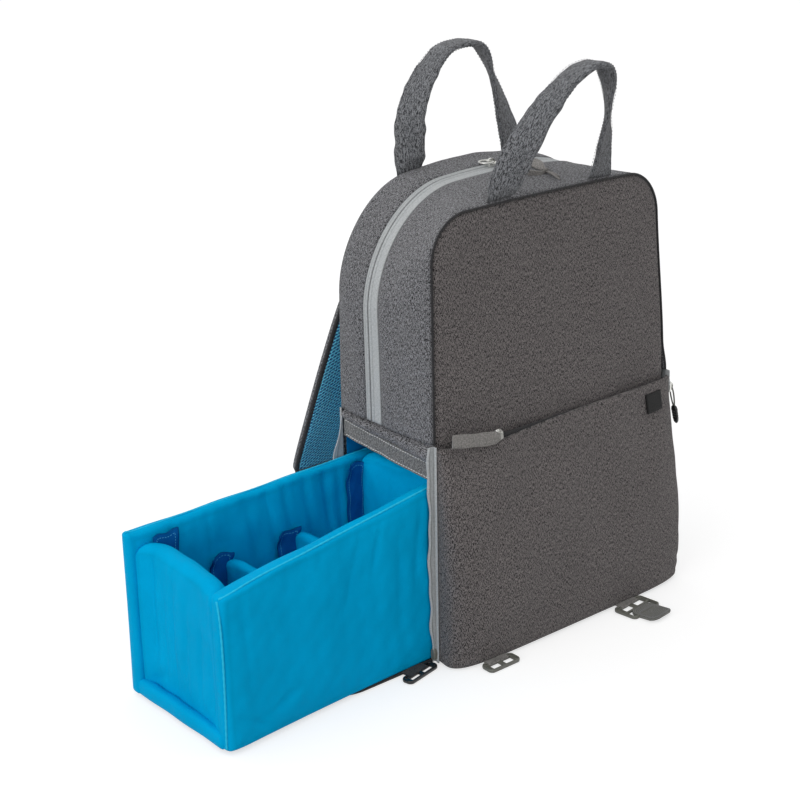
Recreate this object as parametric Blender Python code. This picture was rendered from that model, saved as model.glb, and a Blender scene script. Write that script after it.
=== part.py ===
"""Camera backpack with two carry handles and a padded insert drawn out of its side door.

Lengths are in metres and +Z is up. The origin is on the ground under the middle of the bag's
body. The front faces -Y, and +X is on the right of someone who looks at the front. Every
sub-part is one closed solid with a name of its own.
"""

import math

import bmesh
import bpy
import numpy as np
from mathutils import Matrix, Vector

# Clearance between pieces that touch, and the overrun of every cutter
GAP = 0.0003
OVERRUN = 0.004

# Body: three sections across its depth, each an arch with rounded shoulders and a crown
HALF_WIDTH = 0.145
FRONT_SEAM_Y = -0.066
REAR_SEAM_Y = 0.062
COIL_Y = 0.0150
FRONT_TOP_Z = 0.4000
FRONT_CORNER_R = 0.040
FRONT_TOP_CROWN = 0.0020
MID_HALF_WIDTH = 0.1475
MID_TOP_Z = 0.3950
MID_CORNER_R = 0.091
MID_TOP_CROWN = 0.0160
REAR_TOP_Z = 0.3910
REAR_CORNER_R = 0.077
REAR_TOP_CROWN = 0.0220
FRONT_LEAN = 0.0090
SHOULDER_Z = 0.2000
FRONT_TAPER_SHARE = 0.05
MID_TAPER_SHARE = 0.005
REAR_TAPER_SHARE = 0.02
FABRIC_T = 0.0030
GUSSET_FOOT_Z = 0.2065
PIPING_R = 0.0018

# Main zip
TAPE_FRONT_Y = 0.0010
TAPE_REAR_Y = 0.0220
TAPE_T = 0.0015
TAPE_SINK = 0.0005
SLIDER_LENGTH = 0.0110
SLIDER_WIDTH = 0.0080
SLIDER_HEIGHT = 0.0030
SLIDER_LIFT = 0.0001
BRIDGE_WIDTH = 0.0022
BRIDGE_HEIGHT = 0.0048
BRIDGE_LENGTH = 0.0080
BRIDGE_HOLE_R = 0.0018
LEFT_SLIDER_X = -0.0020
RIGHT_SLIDER_X = 0.0240
RING_R = 0.0062
RING_WIRE_R = 0.0008
FABRIC_PULL_LENGTH = 0.0420
FABRIC_PULL_WIDTH = 0.0120
FABRIC_PULL_T = 0.0020
FABRIC_PULL_LEAN_DEG = 7.5
FABRIC_PULL_DRIFT = 0.0080

# Base, shelf and back
BASE_T = 0.0030
SHELF_T = 0.0030
SHELF_Z = 0.1840
PANEL_BULGE = 0.0045
BACK_T = 0.0030
BACK_INSET = 0.0015
BOARD_T = 0.0020
BOARD_MARGIN = 0.0120
PAD_T = 0.0120
PAD_WIDTH = 0.0980
PAD_INNER_X = 0.0160
PAD_FOOT_Z = 0.0450
PAD_TOP_Z = 0.3350
PAD_CORNER_R = 0.0220
PAD_EDGE_R = 0.0050

# Front pocket
POCKET_TOP_Z = 0.2030
POCKET_FOOT_Z = 0.0
POCKET_REAR_Y = -0.0703
POCKET_DEPTH = 0.0310
POCKET_T = 0.0030
POCKET_FLARE = 0.0050
POCKET_POWER = 6.0
POCKET_ZIP_T = 0.0010
POCKET_ZIP_HEIGHT = 0.0100
POCKET_ZIP_HALF_LENGTH = 0.1200
POCKET_SLIDER_X = -0.0850
POCKET_SLIDER_LIFT = 0.0013
PULL_PIN_R = 0.0009
PULL_PIN_LENGTH = 0.0031
POCKET_TAB_LENGTH = 0.0560
POCKET_TAB_WIDTH = 0.0130
POCKET_TAB_T = 0.0018
POCKET_TAB_LEAN_DEG = 13.0
TAG_LENGTH = 0.0205
TAG_HEIGHT = 0.0145
TAG_T = 0.0012
TAG_INSET = 0.0345
TAG_TOP_Z = 0.1930

# Side openings, left and right
SIDE_FRONT_Y = -0.0635
SIDE_REAR_Y = 0.0570
SIDE_TAPE_T = 0.0020
SIDE_TAPE_PROUD = 0.0015
SIDE_TAPE_FOOT_Z = 0.0005
BAND_HEIGHT = 0.0145
BAND_T = 0.0025
BAND_REAR_Z = 0.1800
BAND_FRONT_Z = 0.1725
FLAP_PROUD = 0.0035
DOOR_T = 0.0025
DOOR_LENGTH = 0.1930
RIGHT_DOOR_T = 0.0030
RIGHT_DOOR_FOOT_Z = 0.0010
RIGHT_DOOR_TOP_Z = 0.1890
SIDE_SLIDER_LENGTH = 0.0100
SIDE_SLIDER_WIDTH = 0.0060
SIDE_SLIDER_HEIGHT = 0.0032
LEFT_SLIDER_FOOT_Z = 0.0045
RIGHT_SLIDER_Z = 0.1880
CORD_R = 0.0006
CORD_LOOP_LENGTH = 0.0230
CORD_LOOP_WIDTH = 0.0057
CORD_SWING_DEG = 14.0
CORD_GRIP_LENGTH = 0.0200
CORD_GRIP_WIDTH = 0.0068
CORD_GRIP_T = 0.0032

# Carry handles
HANDLE_FOOT_WIDTH = 0.0295
HANDLE_TOP_WIDTH = 0.0255
HANDLE_T = 0.0045
HANDLE_SEAT = 0.0027
HANDLE_TIP_T = 0.0006
HANDLE_FOOT_TURN_DEG = 12.0
HANDLE_TURN_RATE = 2.3
HANDLE_TURN_POWERS = (0.7, 1.5)
FRONT_HANDLE_LEAN_DEG = -20.0
REAR_HANDLE_LEAN_DEG = 0.0
FRONT_HANDLE_ROUTE = (
    (-0.0590, 0.0000), (-0.0450, 0.0480), (-0.0330, 0.0800), (-0.0140, 0.1060), (0.0020, 0.1120),
    (0.0170, 0.1090), (0.0360, 0.0880), (0.0490, 0.0560), (0.0620, 0.0000),
)
REAR_HANDLE_ROUTE = (
    (-0.0620, 0.0000), (-0.0590, 0.0450), (-0.0470, 0.0720), (-0.0290, 0.0930), (-0.0120, 0.1005),
    (0.0050, 0.1010), (0.0240, 0.0930), (0.0410, 0.0600), (0.0630, 0.0000),
)

# Shoulder straps, the left one's centre line; the right one mirrors it
STRAP_WIDTH = 0.0600
STRAP_T = 0.0110
STRAP_ROUTE = (
    (-0.0500, 0.0726, 0.3860),
    (-0.0540, 0.0795, 0.3620),
    (-0.0630, 0.0885, 0.3380),
    (-0.0820, 0.0960, 0.2950),
    (-0.1040, 0.1010, 0.2400),
    (-0.1160, 0.1110, 0.1900),
    (-0.1210, 0.1270, 0.1400),
    (-0.1215, 0.1330, 0.1200),
)
ADJUSTER_LENGTH = 0.0300
ADJUSTER_WIDTH = 0.0340
ADJUSTER_T = 0.0040
ADJUSTER_BAR = 0.0050
WEBBING_WIDTH = 0.0250
WEBBING_T = 0.0018
ANCHOR_INSET = 0.0220
ANCHOR_Z = 0.0300

# Bottom buckles
BUCKLE_WIDTH = 0.0360
BUCKLE_T = 0.0035
BUCKLE_RIM = 0.0022
BUCKLE_SLOT_LENGTH = 0.0016
BUCKLE_WINDOW_LENGTH = 0.0034
BUCKLE_WINDOW_WIDTH = 0.0100
BUCKLE_WINDOW_PITCH = 0.0148
SHORT_BUCKLE_LENGTH = 0.0120
LONG_BUCKLE_LENGTH = 0.0240
TAIL_LENGTH = 0.0170
TAIL_WIDTH = 0.0270
TAIL_RISE = 0.0030
TONGUE_WIDTH = 0.0240
TONGUE_T = 0.0014
TONGUE_TOP_Z = 0.0130
TONGUE_FOOT_Z = 0.0044
LEFT_BUCKLE_X = -0.1000
RIGHT_BUCKLE_X = 0.0640
RIGHT_BUCKLE_TURN_DEG = 7.0
CORNER_BUCKLE_OUT = 0.0235
CORNER_BUCKLE_Y = -0.0688
CORNER_BUCKLE_TURN_DEG = 12.0
CORNER_TONGUE_LENGTH = 0.0010

# Padded insert, drawn out at rest
INSERT_OUTER_X = -0.3710
INSERT_LENGTH = 0.2585
INSERT_FRONT_Y = -0.0630
INSERT_REAR_Y = 0.0565
INSERT_Z = 0.0036
INSERT_FLOOR_T = 0.0080
INSERT_WALL_T = 0.0110
FRONT_WALL_TOPS = ((0.0, 0.1415), (0.45, 0.1550), (1.0, 0.1715))
REAR_WALL_TOPS = ((0.0, 0.1500), (0.35, 0.1565), (1.0, 0.1640))
WALL_EDGE_R = 0.0035
END_SETBACK = 0.0130
END_T = 0.0120
OUTER_END_TOPS = (
    (0.0, 0.1080), (0.08, 0.1210), (0.2, 0.1300), (0.4, 0.1370), (0.65, 0.1395), (0.88, 0.1360), (1.0, 0.1290),
)
TAB_TOP_Z = 0.1480
INNER_END_Z = 0.1550
END_ARCH = 0.0080
DIVIDER_T = 0.0100
OUTER_DIVIDER_X = -0.2815
INNER_DIVIDER_X = -0.2090
OUTER_DIVIDER_Z = 0.1020
INNER_DIVIDER_Z = 0.1090
TAB_T = 0.0012
TAB_LENGTH = 0.0160
TAB_HEIGHT = 0.0500
END_TAB_HEIGHT = 0.0700

POCKET_ROW_SHARES = (0, 0.02, 0.06, 0.12, 0.25, 0.42, 0.6, 0.8, 1)
HANDLE_STEPS = 32
ARCH_SIDE_STEPS = 4
ARCH_CORNER_STEPS = 7
ARCH_TOP_STEPS = 10


def clear_scene():
    """Removes every object, so that the file always starts from nothing."""
    for obj in list(bpy.data.objects):
        bpy.data.objects.remove(obj, do_unlink=True)


def finish_material(name, color, roughness, metallic=0.0):
    """A Principled BSDF of one colour, made once for each name."""
    known = bpy.data.materials.get(name)
    if known:
        return known
    made = bpy.data.materials.new(name)
    made.use_nodes = True
    shader = made.node_tree.nodes["Principled BSDF"]
    shader.inputs["Base Color"].default_value = (*color, 1.0)
    shader.inputs["Roughness"].default_value = roughness
    shader.inputs["Metallic"].default_value = metallic
    made.diffuse_color = (*color, 1.0)
    return made


def heather():
    return finish_material("heather_canvas", (0.10, 0.098, 0.10), 0.9)


def dark_trim():
    return finish_material("dark_trim", (0.012, 0.012, 0.013), 0.8)


def zip_grey():
    return finish_material("zip_grey", (0.50, 0.52, 0.53), 0.7)


def band_grey():
    return finish_material("band_grey", (0.17, 0.17, 0.17), 0.85)


def blue_nylon():
    return finish_material("blue_nylon", (0.0, 0.27, 0.55), 0.5)


def blue_mesh():
    return finish_material("blue_mesh", (0.0, 0.22, 0.50), 0.85)


def hook_navy():
    return finish_material("hook_navy", (0.0, 0.05, 0.25), 0.9)


def nickel():
    return finish_material("nickel", (0.70, 0.70, 0.69), 0.3, 1.0)


def grey_plastic():
    return finish_material("grey_plastic", (0.14, 0.14, 0.13), 0.45)


def black_plastic():
    return finish_material("black_plastic", (0.015, 0.015, 0.016), 0.4)


def add_solid(name, verts, faces, material, pivot=(0.0, 0.0, 0.0), smooth_deg=40.0):
    """One closed mesh given in world places; its origin goes to the pivot."""
    place = Vector(pivot)
    mesh = bpy.data.meshes.new(name)
    mesh.from_pydata([Vector(v) - place for v in verts], [], faces)
    work = bmesh.new()
    work.from_mesh(mesh)
    bmesh.ops.recalc_face_normals(work, faces=work.faces)
    work.to_mesh(mesh)
    work.free()
    mesh.shade_smooth()
    mesh.set_sharp_from_angle(angle=math.radians(smooth_deg))
    mesh.materials.append(material)
    obj = bpy.data.objects.new(name, mesh)
    obj.location = place
    bpy.context.scene.collection.objects.link(obj)
    return obj


def joint_empty(name, place):
    """An empty on a joint's axis, which carries the pieces that move together."""
    empty = bpy.data.objects.new(name, None)
    empty.location = Vector(place)
    bpy.context.scene.collection.objects.link(empty)
    return empty


def carry(parent, *pieces):
    """Parents the pieces to what moves them and leaves them where they are."""
    bpy.context.view_layer.update()
    for piece in pieces:
        piece.parent = parent
        piece.matrix_parent_inverse = parent.matrix_world.inverted()


def shell_mesh(outer, inner):
    """Vertices and faces of the closed body between two like grids of points."""
    rows, columns = outer.shape[:2]
    verts = np.concatenate([outer.reshape(-1, 3), inner.reshape(-1, 3)])
    shift = rows * columns

    def at(i, j, side):
        return i * columns + j + side * shift

    faces = []
    for i in range(rows - 1):
        for j in range(columns - 1):
            faces.append((at(i, j, 0), at(i, j + 1, 0), at(i + 1, j + 1, 0), at(i + 1, j, 0)))
            faces.append((at(i, j, 1), at(i + 1, j, 1), at(i + 1, j + 1, 1), at(i, j + 1, 1)))
    for i in range(rows - 1):
        for j in (0, columns - 1):
            faces.append((at(i, j, 0), at(i + 1, j, 0), at(i + 1, j, 1), at(i, j, 1)))
    for j in range(columns - 1):
        for i in (0, rows - 1):
            faces.append((at(i, j, 0), at(i, j, 1), at(i, j + 1, 1), at(i, j + 1, 0)))
    return verts, faces


def loft_mesh(loops, closed=False):
    """Vertices and faces of a tube through like loops, capped unless its path closes."""
    count, sides = loops.shape[:2]
    faces = []
    for i in range(count if closed else count - 1):
        k = (i + 1) % count
        for j in range(sides):
            n = (j + 1) % sides
            faces.append((i * sides + j, i * sides + n, k * sides + n, k * sides + j))
    if not closed:
        faces.append(tuple(range(sides)))
        faces.append(tuple((count - 1) * sides + j for j in range(sides)))
    return loops.reshape(-1, 3), faces


def smooth_path(points, steps):
    """A Catmull-Rom curve through the points, resampled to equal steps of length."""
    pts = np.array(points, float)
    ends = np.vstack([2 * pts[0] - pts[1], pts, 2 * pts[-1] - pts[-2]])
    t = np.linspace(0, 1, 16, endpoint=False)[:, None]
    runs = []
    for a, b, c, d in zip(ends[:-3], ends[1:-2], ends[2:-1], ends[3:]):
        runs.append(
            0.5 * (2 * b + (c - a) * t + (2 * a - 5 * b + 4 * c - d) * t**2 + (3 * b - a - 3 * c + d) * t**3)
        )
    dense = np.vstack(runs + [pts[-1:]])
    length = np.concatenate([[0], np.cumsum(np.linalg.norm(np.diff(dense, axis=0), axis=1))])
    even = np.linspace(0, length[-1], steps + 1)
    return np.stack([np.interp(even, length, dense[:, k]) for k in range(3)], axis=1)


def unit(rows):
    return rows / np.linalg.norm(rows, axis=-1, keepdims=True)


def strap_loops(path, across, width, thickness, edge_share=0.5):
    """Loops of a flat strap: an oblong with chamfered edges, its width along `across`."""
    tangent = unit(np.gradient(path, axis=0))
    side = unit(across - (across * tangent).sum(axis=1, keepdims=True) * tangent)
    normal = np.cross(tangent, side)
    half_w = np.broadcast_to(np.asarray(width, float) / 2, len(path))[:, None]
    half_t = np.broadcast_to(np.asarray(thickness, float) / 2, len(path))[:, None]
    cut = half_t * edge_share
    corners = (
        (-1, -1, 1, 0), (1, -1, -1, 0), (1, -1, 0, 1), (1, 1, 0, -1),
        (1, 1, -1, 0), (-1, 1, 1, 0), (-1, 1, 0, -1), (-1, -1, 0, 1),
    )
    loops = []
    for w, t, w_in, t_in in corners:
        loops.append(path + side * (w * half_w + w_in * cut) + normal * (t * half_t + t_in * cut))
    return np.stack(loops, axis=1)


def round_loops(path, radius, sides, normal_hint):
    """Loops of a round cord along the path."""
    tangent = unit(np.gradient(path, axis=0))
    hint = np.broadcast_to(np.array(normal_hint, float), path.shape)
    side = unit(np.cross(tangent, hint))
    up = np.cross(side, tangent)
    angle = np.arange(sides) * (2 * math.pi / sides)
    ring = side[:, None] * np.cos(angle)[None, :, None] + up[:, None] * np.sin(angle)[None, :, None]
    return path[:, None] + radius * ring


def ring_loops(centre, radius, wire_r, axis_a, axis_b, turns=20, sides=8):
    """Loops of a round wire ring in the plane of two unit directions."""
    theta = np.arange(turns) * (2 * math.pi / turns)
    out = np.cos(theta)[:, None] * np.array(axis_a) + np.sin(theta)[:, None] * np.array(axis_b)
    normal = np.cross(axis_a, axis_b)
    phi = np.arange(sides) * (2 * math.pi / sides)
    wire = out[:, None] * np.cos(phi)[None, :, None] + normal[None, None] * np.sin(phi)[None, :, None]
    return np.array(centre) + radius * out[:, None] + wire_r * wire


def prism(outline, low, high, axis):
    """Vertices and faces of an outline carried along one axis; the outline keeps X, Y, Z order."""
    flat = np.array(outline, float)
    ends = []
    for level in (low, high):
        ends.append(np.insert(flat, axis, level, axis=1))
    return loft_mesh(np.stack(ends))


def rounded_box(low_a, low_b, high_a, high_b, radius, steps=4):
    """A rectangle's outline with round corners, in two coordinates."""
    points = []
    corners = (
        (high_a - radius, high_b - radius, 0.0), (low_a + radius, high_b - radius, 0.5),
        (low_a + radius, low_b + radius, 1.0), (high_a - radius, low_b + radius, 1.5),
    )
    for a, b, start in corners:
        for k in range(steps + 1):
            angle = math.pi * (start + 0.5 * k / steps)
            points.append((a + radius * math.cos(angle), b + radius * math.sin(angle)))
    return points


def add_cut(target, verts, faces):
    """Cuts a closed helper shape out of the target."""
    cutter = add_solid("cut_" + target.name, verts, faces, dark_trim())
    cutter.hide_render = True
    cutter.display_type = "WIRE"
    cut = target.modifiers.new("cut", "BOOLEAN")
    cut.object = cutter
    cut.operation = "DIFFERENCE"
    cut.solver = "EXACT"
    return cutter


def join_on(target, verts, faces, name):
    """Fuses a closed helper shape to the target."""
    helper = add_solid(name + "_" + target.name, verts, faces, target.data.materials[0])
    helper.hide_render = True
    helper.display_type = "WIRE"
    join = target.modifiers.new(name, "BOOLEAN")
    join.object = helper
    join.operation = "UNION"
    join.solver = "EXACT"
    return helper


def soften(obj, width, segments=2):
    """Rounds the sharp edges of a moulded or padded piece."""
    bevel = obj.modifiers.new("soft_edges", "BEVEL")
    bevel.width = width
    bevel.segments = segments
    bevel.limit_method = "ANGLE"
    bevel.angle_limit = math.radians(40)
    return bevel


def through_sections(y, front, mid, rear):
    """A size that runs smoothly through its values at the front seam, the zip and the rear seam."""
    a, b, c = FRONT_SEAM_Y, COIL_Y, REAR_SEAM_Y
    return (
        front * (y - b) * (y - c) / ((a - b) * (a - c))
        + mid * (y - a) * (y - c) / ((b - a) * (b - c))
        + rear * (y - a) * (y - b) / ((c - a) * (c - b))
    )


def rise_share(z):
    """Runs smoothly from 0 at the shoulders of the opening to 1 at the top seam."""
    s = np.clip((z - SHOULDER_Z) / (FRONT_TOP_Z - SHOULDER_Z), 0, 1)
    return s * s * (3 - 2 * s)


def leaning(y, z):
    """The upper body leans back: most at the front seam, and not at all at the rear seam."""
    reach = (REAR_SEAM_Y - y) / (REAR_SEAM_Y - FRONT_SEAM_Y)
    return y + FRONT_LEAN * rise_share(z) * reach


def arch_line(y, inset, foot_z):
    """X and Z along the body's outline at one depth, from the left foot over the top to the right."""
    half = through_sections(y, HALF_WIDTH, MID_HALF_WIDTH, HALF_WIDTH) - inset
    corner = through_sections(y, FRONT_CORNER_R, MID_CORNER_R, REAR_CORNER_R) - inset
    top = through_sections(y, FRONT_TOP_Z, MID_TOP_Z, REAR_TOP_Z) - inset
    crown = through_sections(y, FRONT_TOP_CROWN, MID_TOP_CROWN, REAR_TOP_CROWN)
    taper = through_sections(y, FRONT_TAPER_SHARE, MID_TAPER_SHARE, REAR_TAPER_SHARE)
    side_z = np.linspace(foot_z, top - corner, ARCH_SIDE_STEPS, endpoint=False)
    turn = np.linspace(math.pi, math.pi / 2, ARCH_CORNER_STEPS, endpoint=False)
    flat_x = np.linspace(corner - half, half - corner, ARCH_TOP_STEPS + 1)
    left_x = np.concatenate([np.full(ARCH_SIDE_STEPS, -half), corner - half + corner * np.cos(turn)])
    left_z = np.concatenate([side_z, top - corner + corner * np.sin(turn)])
    x = np.concatenate([left_x, flat_x, -left_x[::-1]])
    z = np.concatenate([left_z, np.full(ARCH_TOP_STEPS + 1, top), left_z[::-1]])
    z = z + crown * (1 - (x / half) ** 2) * (z > foot_z)
    x = x * (1 - taper * rise_share(z))
    return x, z


def arch_band(name, y_low, y_high, rows, sink, thickness, material, foot_z=GUSSET_FOOT_Z):
    """A strip of the body's arch between two depths, `sink` under the outline."""
    grids = []
    for inset in (sink, sink + thickness):
        grid = []
        for y in np.linspace(y_low, y_high, rows):
            x, z = arch_line(y, inset, foot_z)
            grid.append(np.stack([x, leaning(np.full_like(x, y), z), z], axis=1))
        grids.append(np.array(grid))
    verts, faces = shell_mesh(*grids)
    return add_solid(name, verts, faces, material)


def panel_outline(y, inset, foot_z):
    """The arch at one depth, closed along its foot."""
    x, z = arch_line(y, inset, foot_z)
    foot = np.linspace(x[-1], x[0], 9)[1:-1]
    x = np.concatenate([x, foot])
    z = np.concatenate([z, np.full(len(foot), foot_z)])
    return np.stack([x, z], axis=1)


def bulged_panel(name, outline, y_at_rim, bulge, thickness, material, side=-1.0):
    """A panel sewn in along its outline that swells by `bulge` towards `side` in its middle."""
    centre = (outline.min(axis=0) + outline.max(axis=0)) / 2
    ring_shares = (1.0, 0.85, 0.6, 0.3)
    verts = []
    for offset in (thickness, 0.0):
        for share in ring_shares:
            spot = centre + (outline - centre) * share
            y = y_at_rim(spot[:, 1]) + side * (bulge * (1 - share**2) + offset)
            verts.append(np.stack([spot[:, 0], y, spot[:, 1]], axis=1))
    n = len(outline)
    rings = len(ring_shares)
    faces = []
    for layer in range(2):
        for r in range(rings - 1):
            a = (layer * rings + r) * n
            for j in range(n):
                k = (j + 1) % n
                faces.append((a + j, a + k, a + n + k, a + n + j))
        last = (layer * rings + rings - 1) * n
        faces.append(tuple(last + j for j in range(n)))
    for j in range(n):
        k = (j + 1) % n
        faces.append((j, rings * n + j, rings * n + k, k))
    return add_solid(name, np.concatenate(verts), faces, material)


def make_body():
    gusset_front = FRONT_SEAM_Y + PIPING_R + GAP
    arch_band("front_gusset", gusset_front, TAPE_FRONT_Y - GAP, 7, 0.0, FABRIC_T, heather())
    arch_band("rear_gusset", TAPE_REAR_Y + GAP, REAR_SEAM_Y, 5, 0.0, FABRIC_T, heather())
    half_gap = GAP / 2
    tape_foot = GUSSET_FOOT_Z
    arch_band(
        "main_zip_tape_front", TAPE_FRONT_Y, COIL_Y - half_gap, 2, TAPE_SINK, TAPE_T, zip_grey(), tape_foot
    )
    arch_band(
        "main_zip_tape_rear", COIL_Y + half_gap, TAPE_REAR_Y, 2, TAPE_SINK, TAPE_T, zip_grey(), tape_foot
    )
    x, z = arch_line(FRONT_SEAM_Y, PIPING_R, GUSSET_FOOT_Z)
    seam = np.stack([x, leaning(np.full_like(x, FRONT_SEAM_Y), z), z], axis=1)
    verts, faces = loft_mesh(round_loops(seam, PIPING_R, 8, (0.0, 1.0, 0.0)))
    add_solid("front_piping", verts, faces, dark_trim())

    panel_inset = 2 * PIPING_R + GAP
    foot = BASE_T + GAP
    front_outline = panel_outline(FRONT_SEAM_Y, panel_inset, foot)
    bulged_panel(
        "front_panel", front_outline, lambda h: leaning(FRONT_SEAM_Y + PIPING_R, h),
        PANEL_BULGE, FABRIC_T, heather(),
    )
    back_outline = panel_outline(REAR_SEAM_Y, BACK_INSET, 0.0)
    bulged_panel(
        "back_panel", back_outline, lambda h: np.full_like(h, REAR_SEAM_Y + GAP), 0.0, BACK_T, heather(), 1.0
    )
    board_outline = panel_outline(REAR_SEAM_Y, BOARD_MARGIN, BASE_T + GAP)
    bulged_panel(
        "back_board", board_outline, lambda h: np.full_like(h, REAR_SEAM_Y), 0.0, BOARD_T, dark_trim(), -1.0
    )
    make_back_pads()
    make_base_and_shelf()


def make_back_pads():
    """Two mesh-faced cushions on the back, clear of the straps' upper ends."""
    low = REAR_SEAM_Y + GAP + BACK_T + GAP
    for side, name in ((-1, "back_pad_left"), (1, "back_pad_right")):
        edges = sorted((side * PAD_INNER_X, side * (PAD_INNER_X + PAD_WIDTH)))
        outline = np.array(
            rounded_box(edges[0], PAD_FOOT_Z, edges[1], PAD_TOP_Z, PAD_CORNER_R, steps=5)
        )
        centre = outline.mean(axis=0)
        levels = ((1.0, 0.0), (1.0, PAD_T - PAD_EDGE_R), (1 - PAD_EDGE_R / PAD_WIDTH, PAD_T - PAD_EDGE_R / 4))
        loops = []
        for share, height in levels:
            spot = centre + (outline - centre) * share
            loops.append(np.stack([spot[:, 0], np.full(len(spot), low + height), spot[:, 1]], axis=1))
        crown = centre + (outline - centre) * (1 - 3 * PAD_EDGE_R / PAD_WIDTH)
        loops.append(np.stack([crown[:, 0], np.full(len(crown), low + PAD_T), crown[:, 1]], axis=1))
        verts, faces = loft_mesh(np.array(loops))
        add_solid(name, verts, faces, blue_mesh())


def pocket_section(z_share, inset, columns):
    """X and Y of the pocket's wall in plan at a share of its height: a squared-off bow."""
    depth_share = np.interp(z_share, (0, 0.02, 0.06, 0.25, 0.5, 0.75, 1), (0.92, 0.96, 0.99, 1.0, 0.93, 0.72, 0.36))
    flare_share = np.interp(z_share, (0, 0.15, 0.5, 1), (0.75, 1.0, 0.6, 0.0))
    angle = np.linspace(math.pi, 0, columns)
    half = HALF_WIDTH - inset + POCKET_FLARE * flare_share * np.sqrt(np.abs(np.sin(angle)))
    depth = POCKET_DEPTH * depth_share - inset
    x_share = np.sign(np.cos(angle)) * np.abs(np.cos(angle)) ** (2 / POCKET_POWER)
    x = half * x_share
    y = POCKET_REAR_Y - depth * np.abs(np.sin(angle)) ** (2 / POCKET_POWER * 1.6)
    return x, y


def base_half_width():
    """The base and the shelf end just inside the side openings' tapes."""
    return HALF_WIDTH - SIDE_TAPE_PROUD - GAP


def make_base_and_shelf():
    x, y = pocket_section(0.0, POCKET_T + GAP, 21)
    base_half = base_half_width()
    x = np.clip(x, -base_half, base_half)
    outline = [(float(a), float(b)) for a, b in zip(x, y)]
    outline += [(base_half, REAR_SEAM_Y), (-base_half, REAR_SEAM_Y)]
    verts, faces = prism(outline, 0.0, BASE_T, 2)
    add_solid("base_panel", verts, faces, heather())

    shelf_front = FRONT_SEAM_Y + FABRIC_T + GAP
    shelf_rear = REAR_SEAM_Y - BOARD_T - GAP
    shelf_half = base_half_width()
    verts, faces = prism(
        [(-shelf_half, shelf_front), (shelf_half, shelf_front), (shelf_half, shelf_rear), (-shelf_half, shelf_rear)],
        SHELF_Z, SHELF_Z + SHELF_T, 2,
    )
    add_solid("inner_shelf", verts, faces, dark_trim())


def make_pocket():
    columns = 27
    height = POCKET_TOP_Z - POCKET_FOOT_Z
    grids = []
    for inset in (0.0, POCKET_T):
        grid = []
        for share in POCKET_ROW_SHARES:
            x, y = pocket_section(share, inset, columns)
            z = np.full(columns, POCKET_FOOT_Z + height * share)
            grid.append(np.stack([x, y, z], axis=1))
        grids.append(np.array(grid))
    verts, faces = shell_mesh(*grids)
    add_solid("pocket_panel", verts, faces, heather())

    zip_x = np.linspace(-POCKET_ZIP_HALF_LENGTH, POCKET_ZIP_HALF_LENGTH, 13)
    wall_x, wall_y = pocket_section(1.0, POCKET_T, 81)
    behind = np.interp(zip_x, wall_x, wall_y) + 2 * GAP
    grids = []
    for offset in (0.0, POCKET_ZIP_T):
        grid = []
        for z in (POCKET_TOP_Z - POCKET_ZIP_HEIGHT, POCKET_TOP_Z):
            grid.append(np.stack([zip_x, behind + offset, np.full_like(zip_x, z)], axis=1))
        grids.append(np.array(grid))
    verts, faces = shell_mesh(*grids)
    add_solid("pocket_zip_tape", verts, faces, dark_trim())

    tag_mid = HALF_WIDTH - TAG_INSET
    tag_x = np.linspace(tag_mid - TAG_LENGTH / 2, tag_mid + TAG_LENGTH / 2, 5)
    grids = []
    for offset in (GAP, GAP + TAG_T):
        grid = []
        for z in (TAG_TOP_Z - TAG_HEIGHT, TAG_TOP_Z - TAG_HEIGHT / 2, TAG_TOP_Z):
            face_x, face_y = pocket_section((z - POCKET_FOOT_Z) / height, 0.0, 81)
            grid.append(np.stack([tag_x, np.interp(tag_x, face_x, face_y) - offset, np.full(5, z)], axis=1))
        grids.append(np.array(grid))
    verts, faces = shell_mesh(*grids)
    add_solid("label_tag", verts, faces, black_plastic())


def slider_body(name, place, along, up, length, width, height, material, pivot, bridged=True):
    """A zip slider: a tapered shell, with a pierced bridge on its back where it has a pull."""
    forward = Vector(along).normalized()
    top = Vector(up).normalized()
    across = top.cross(forward)
    turn = Matrix((forward, across, top)).transposed()
    width_shares = ((-0.5, 0.62), (-0.42, 0.86), (-0.1, 0.95), (0.2, 1.0), (0.42, 0.8), (0.5, 0.55))
    loops = []
    for at, share in width_shares:
        half = width * share / 2
        rim = height * 0.3
        section = (
            (-half, 0.0), (-half, height - rim), (-half + rim, height),
            (half - rim, height), (half, height - rim), (half, 0.0),
        )
        loops.append([turn @ Vector((at * length, w, h)) + Vector(place) for w, h in section])
    verts, faces = loft_mesh(np.array(loops))
    slider = add_solid(name, verts, faces, material, pivot)
    if not bridged:
        return slider
    arch_shares = ((-0.5, 0.0), (-0.5, 0.45), (-0.3, 0.9), (0.0, 1.0), (0.3, 0.9), (0.5, 0.45), (0.5, 0.0))
    bridge = []
    for w in (-BRIDGE_WIDTH / 2, BRIDGE_WIDTH / 2):
        bridge.append(
            [
                turn @ Vector((a * BRIDGE_LENGTH, w, height * 0.6 + b * BRIDGE_HEIGHT)) + Vector(place)
                for a, b in arch_shares
            ]
        )
    join_on(slider, *loft_mesh(np.array(bridge)), "bridge")
    hole_height = height + BRIDGE_HEIGHT * 0.22
    angle = np.arange(10) * (2 * math.pi / 10)
    hole = []
    for w in (-width, width):
        hole.append(
            [
                turn @ Vector((BRIDGE_HOLE_R * math.cos(t), w, hole_height + BRIDGE_HOLE_R * math.sin(t)))
                + Vector(place)
                for t in angle
            ]
        )
    add_cut(slider, *loft_mesh(np.array(hole)))
    return slider


def crown_height(x):
    """Height of the body's outline over a place on the coil line."""
    line_x, line_z = arch_line(COIL_Y, 0.0, GUSSET_FOOT_Z)
    return float(np.interp(x, line_x, line_z))


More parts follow.
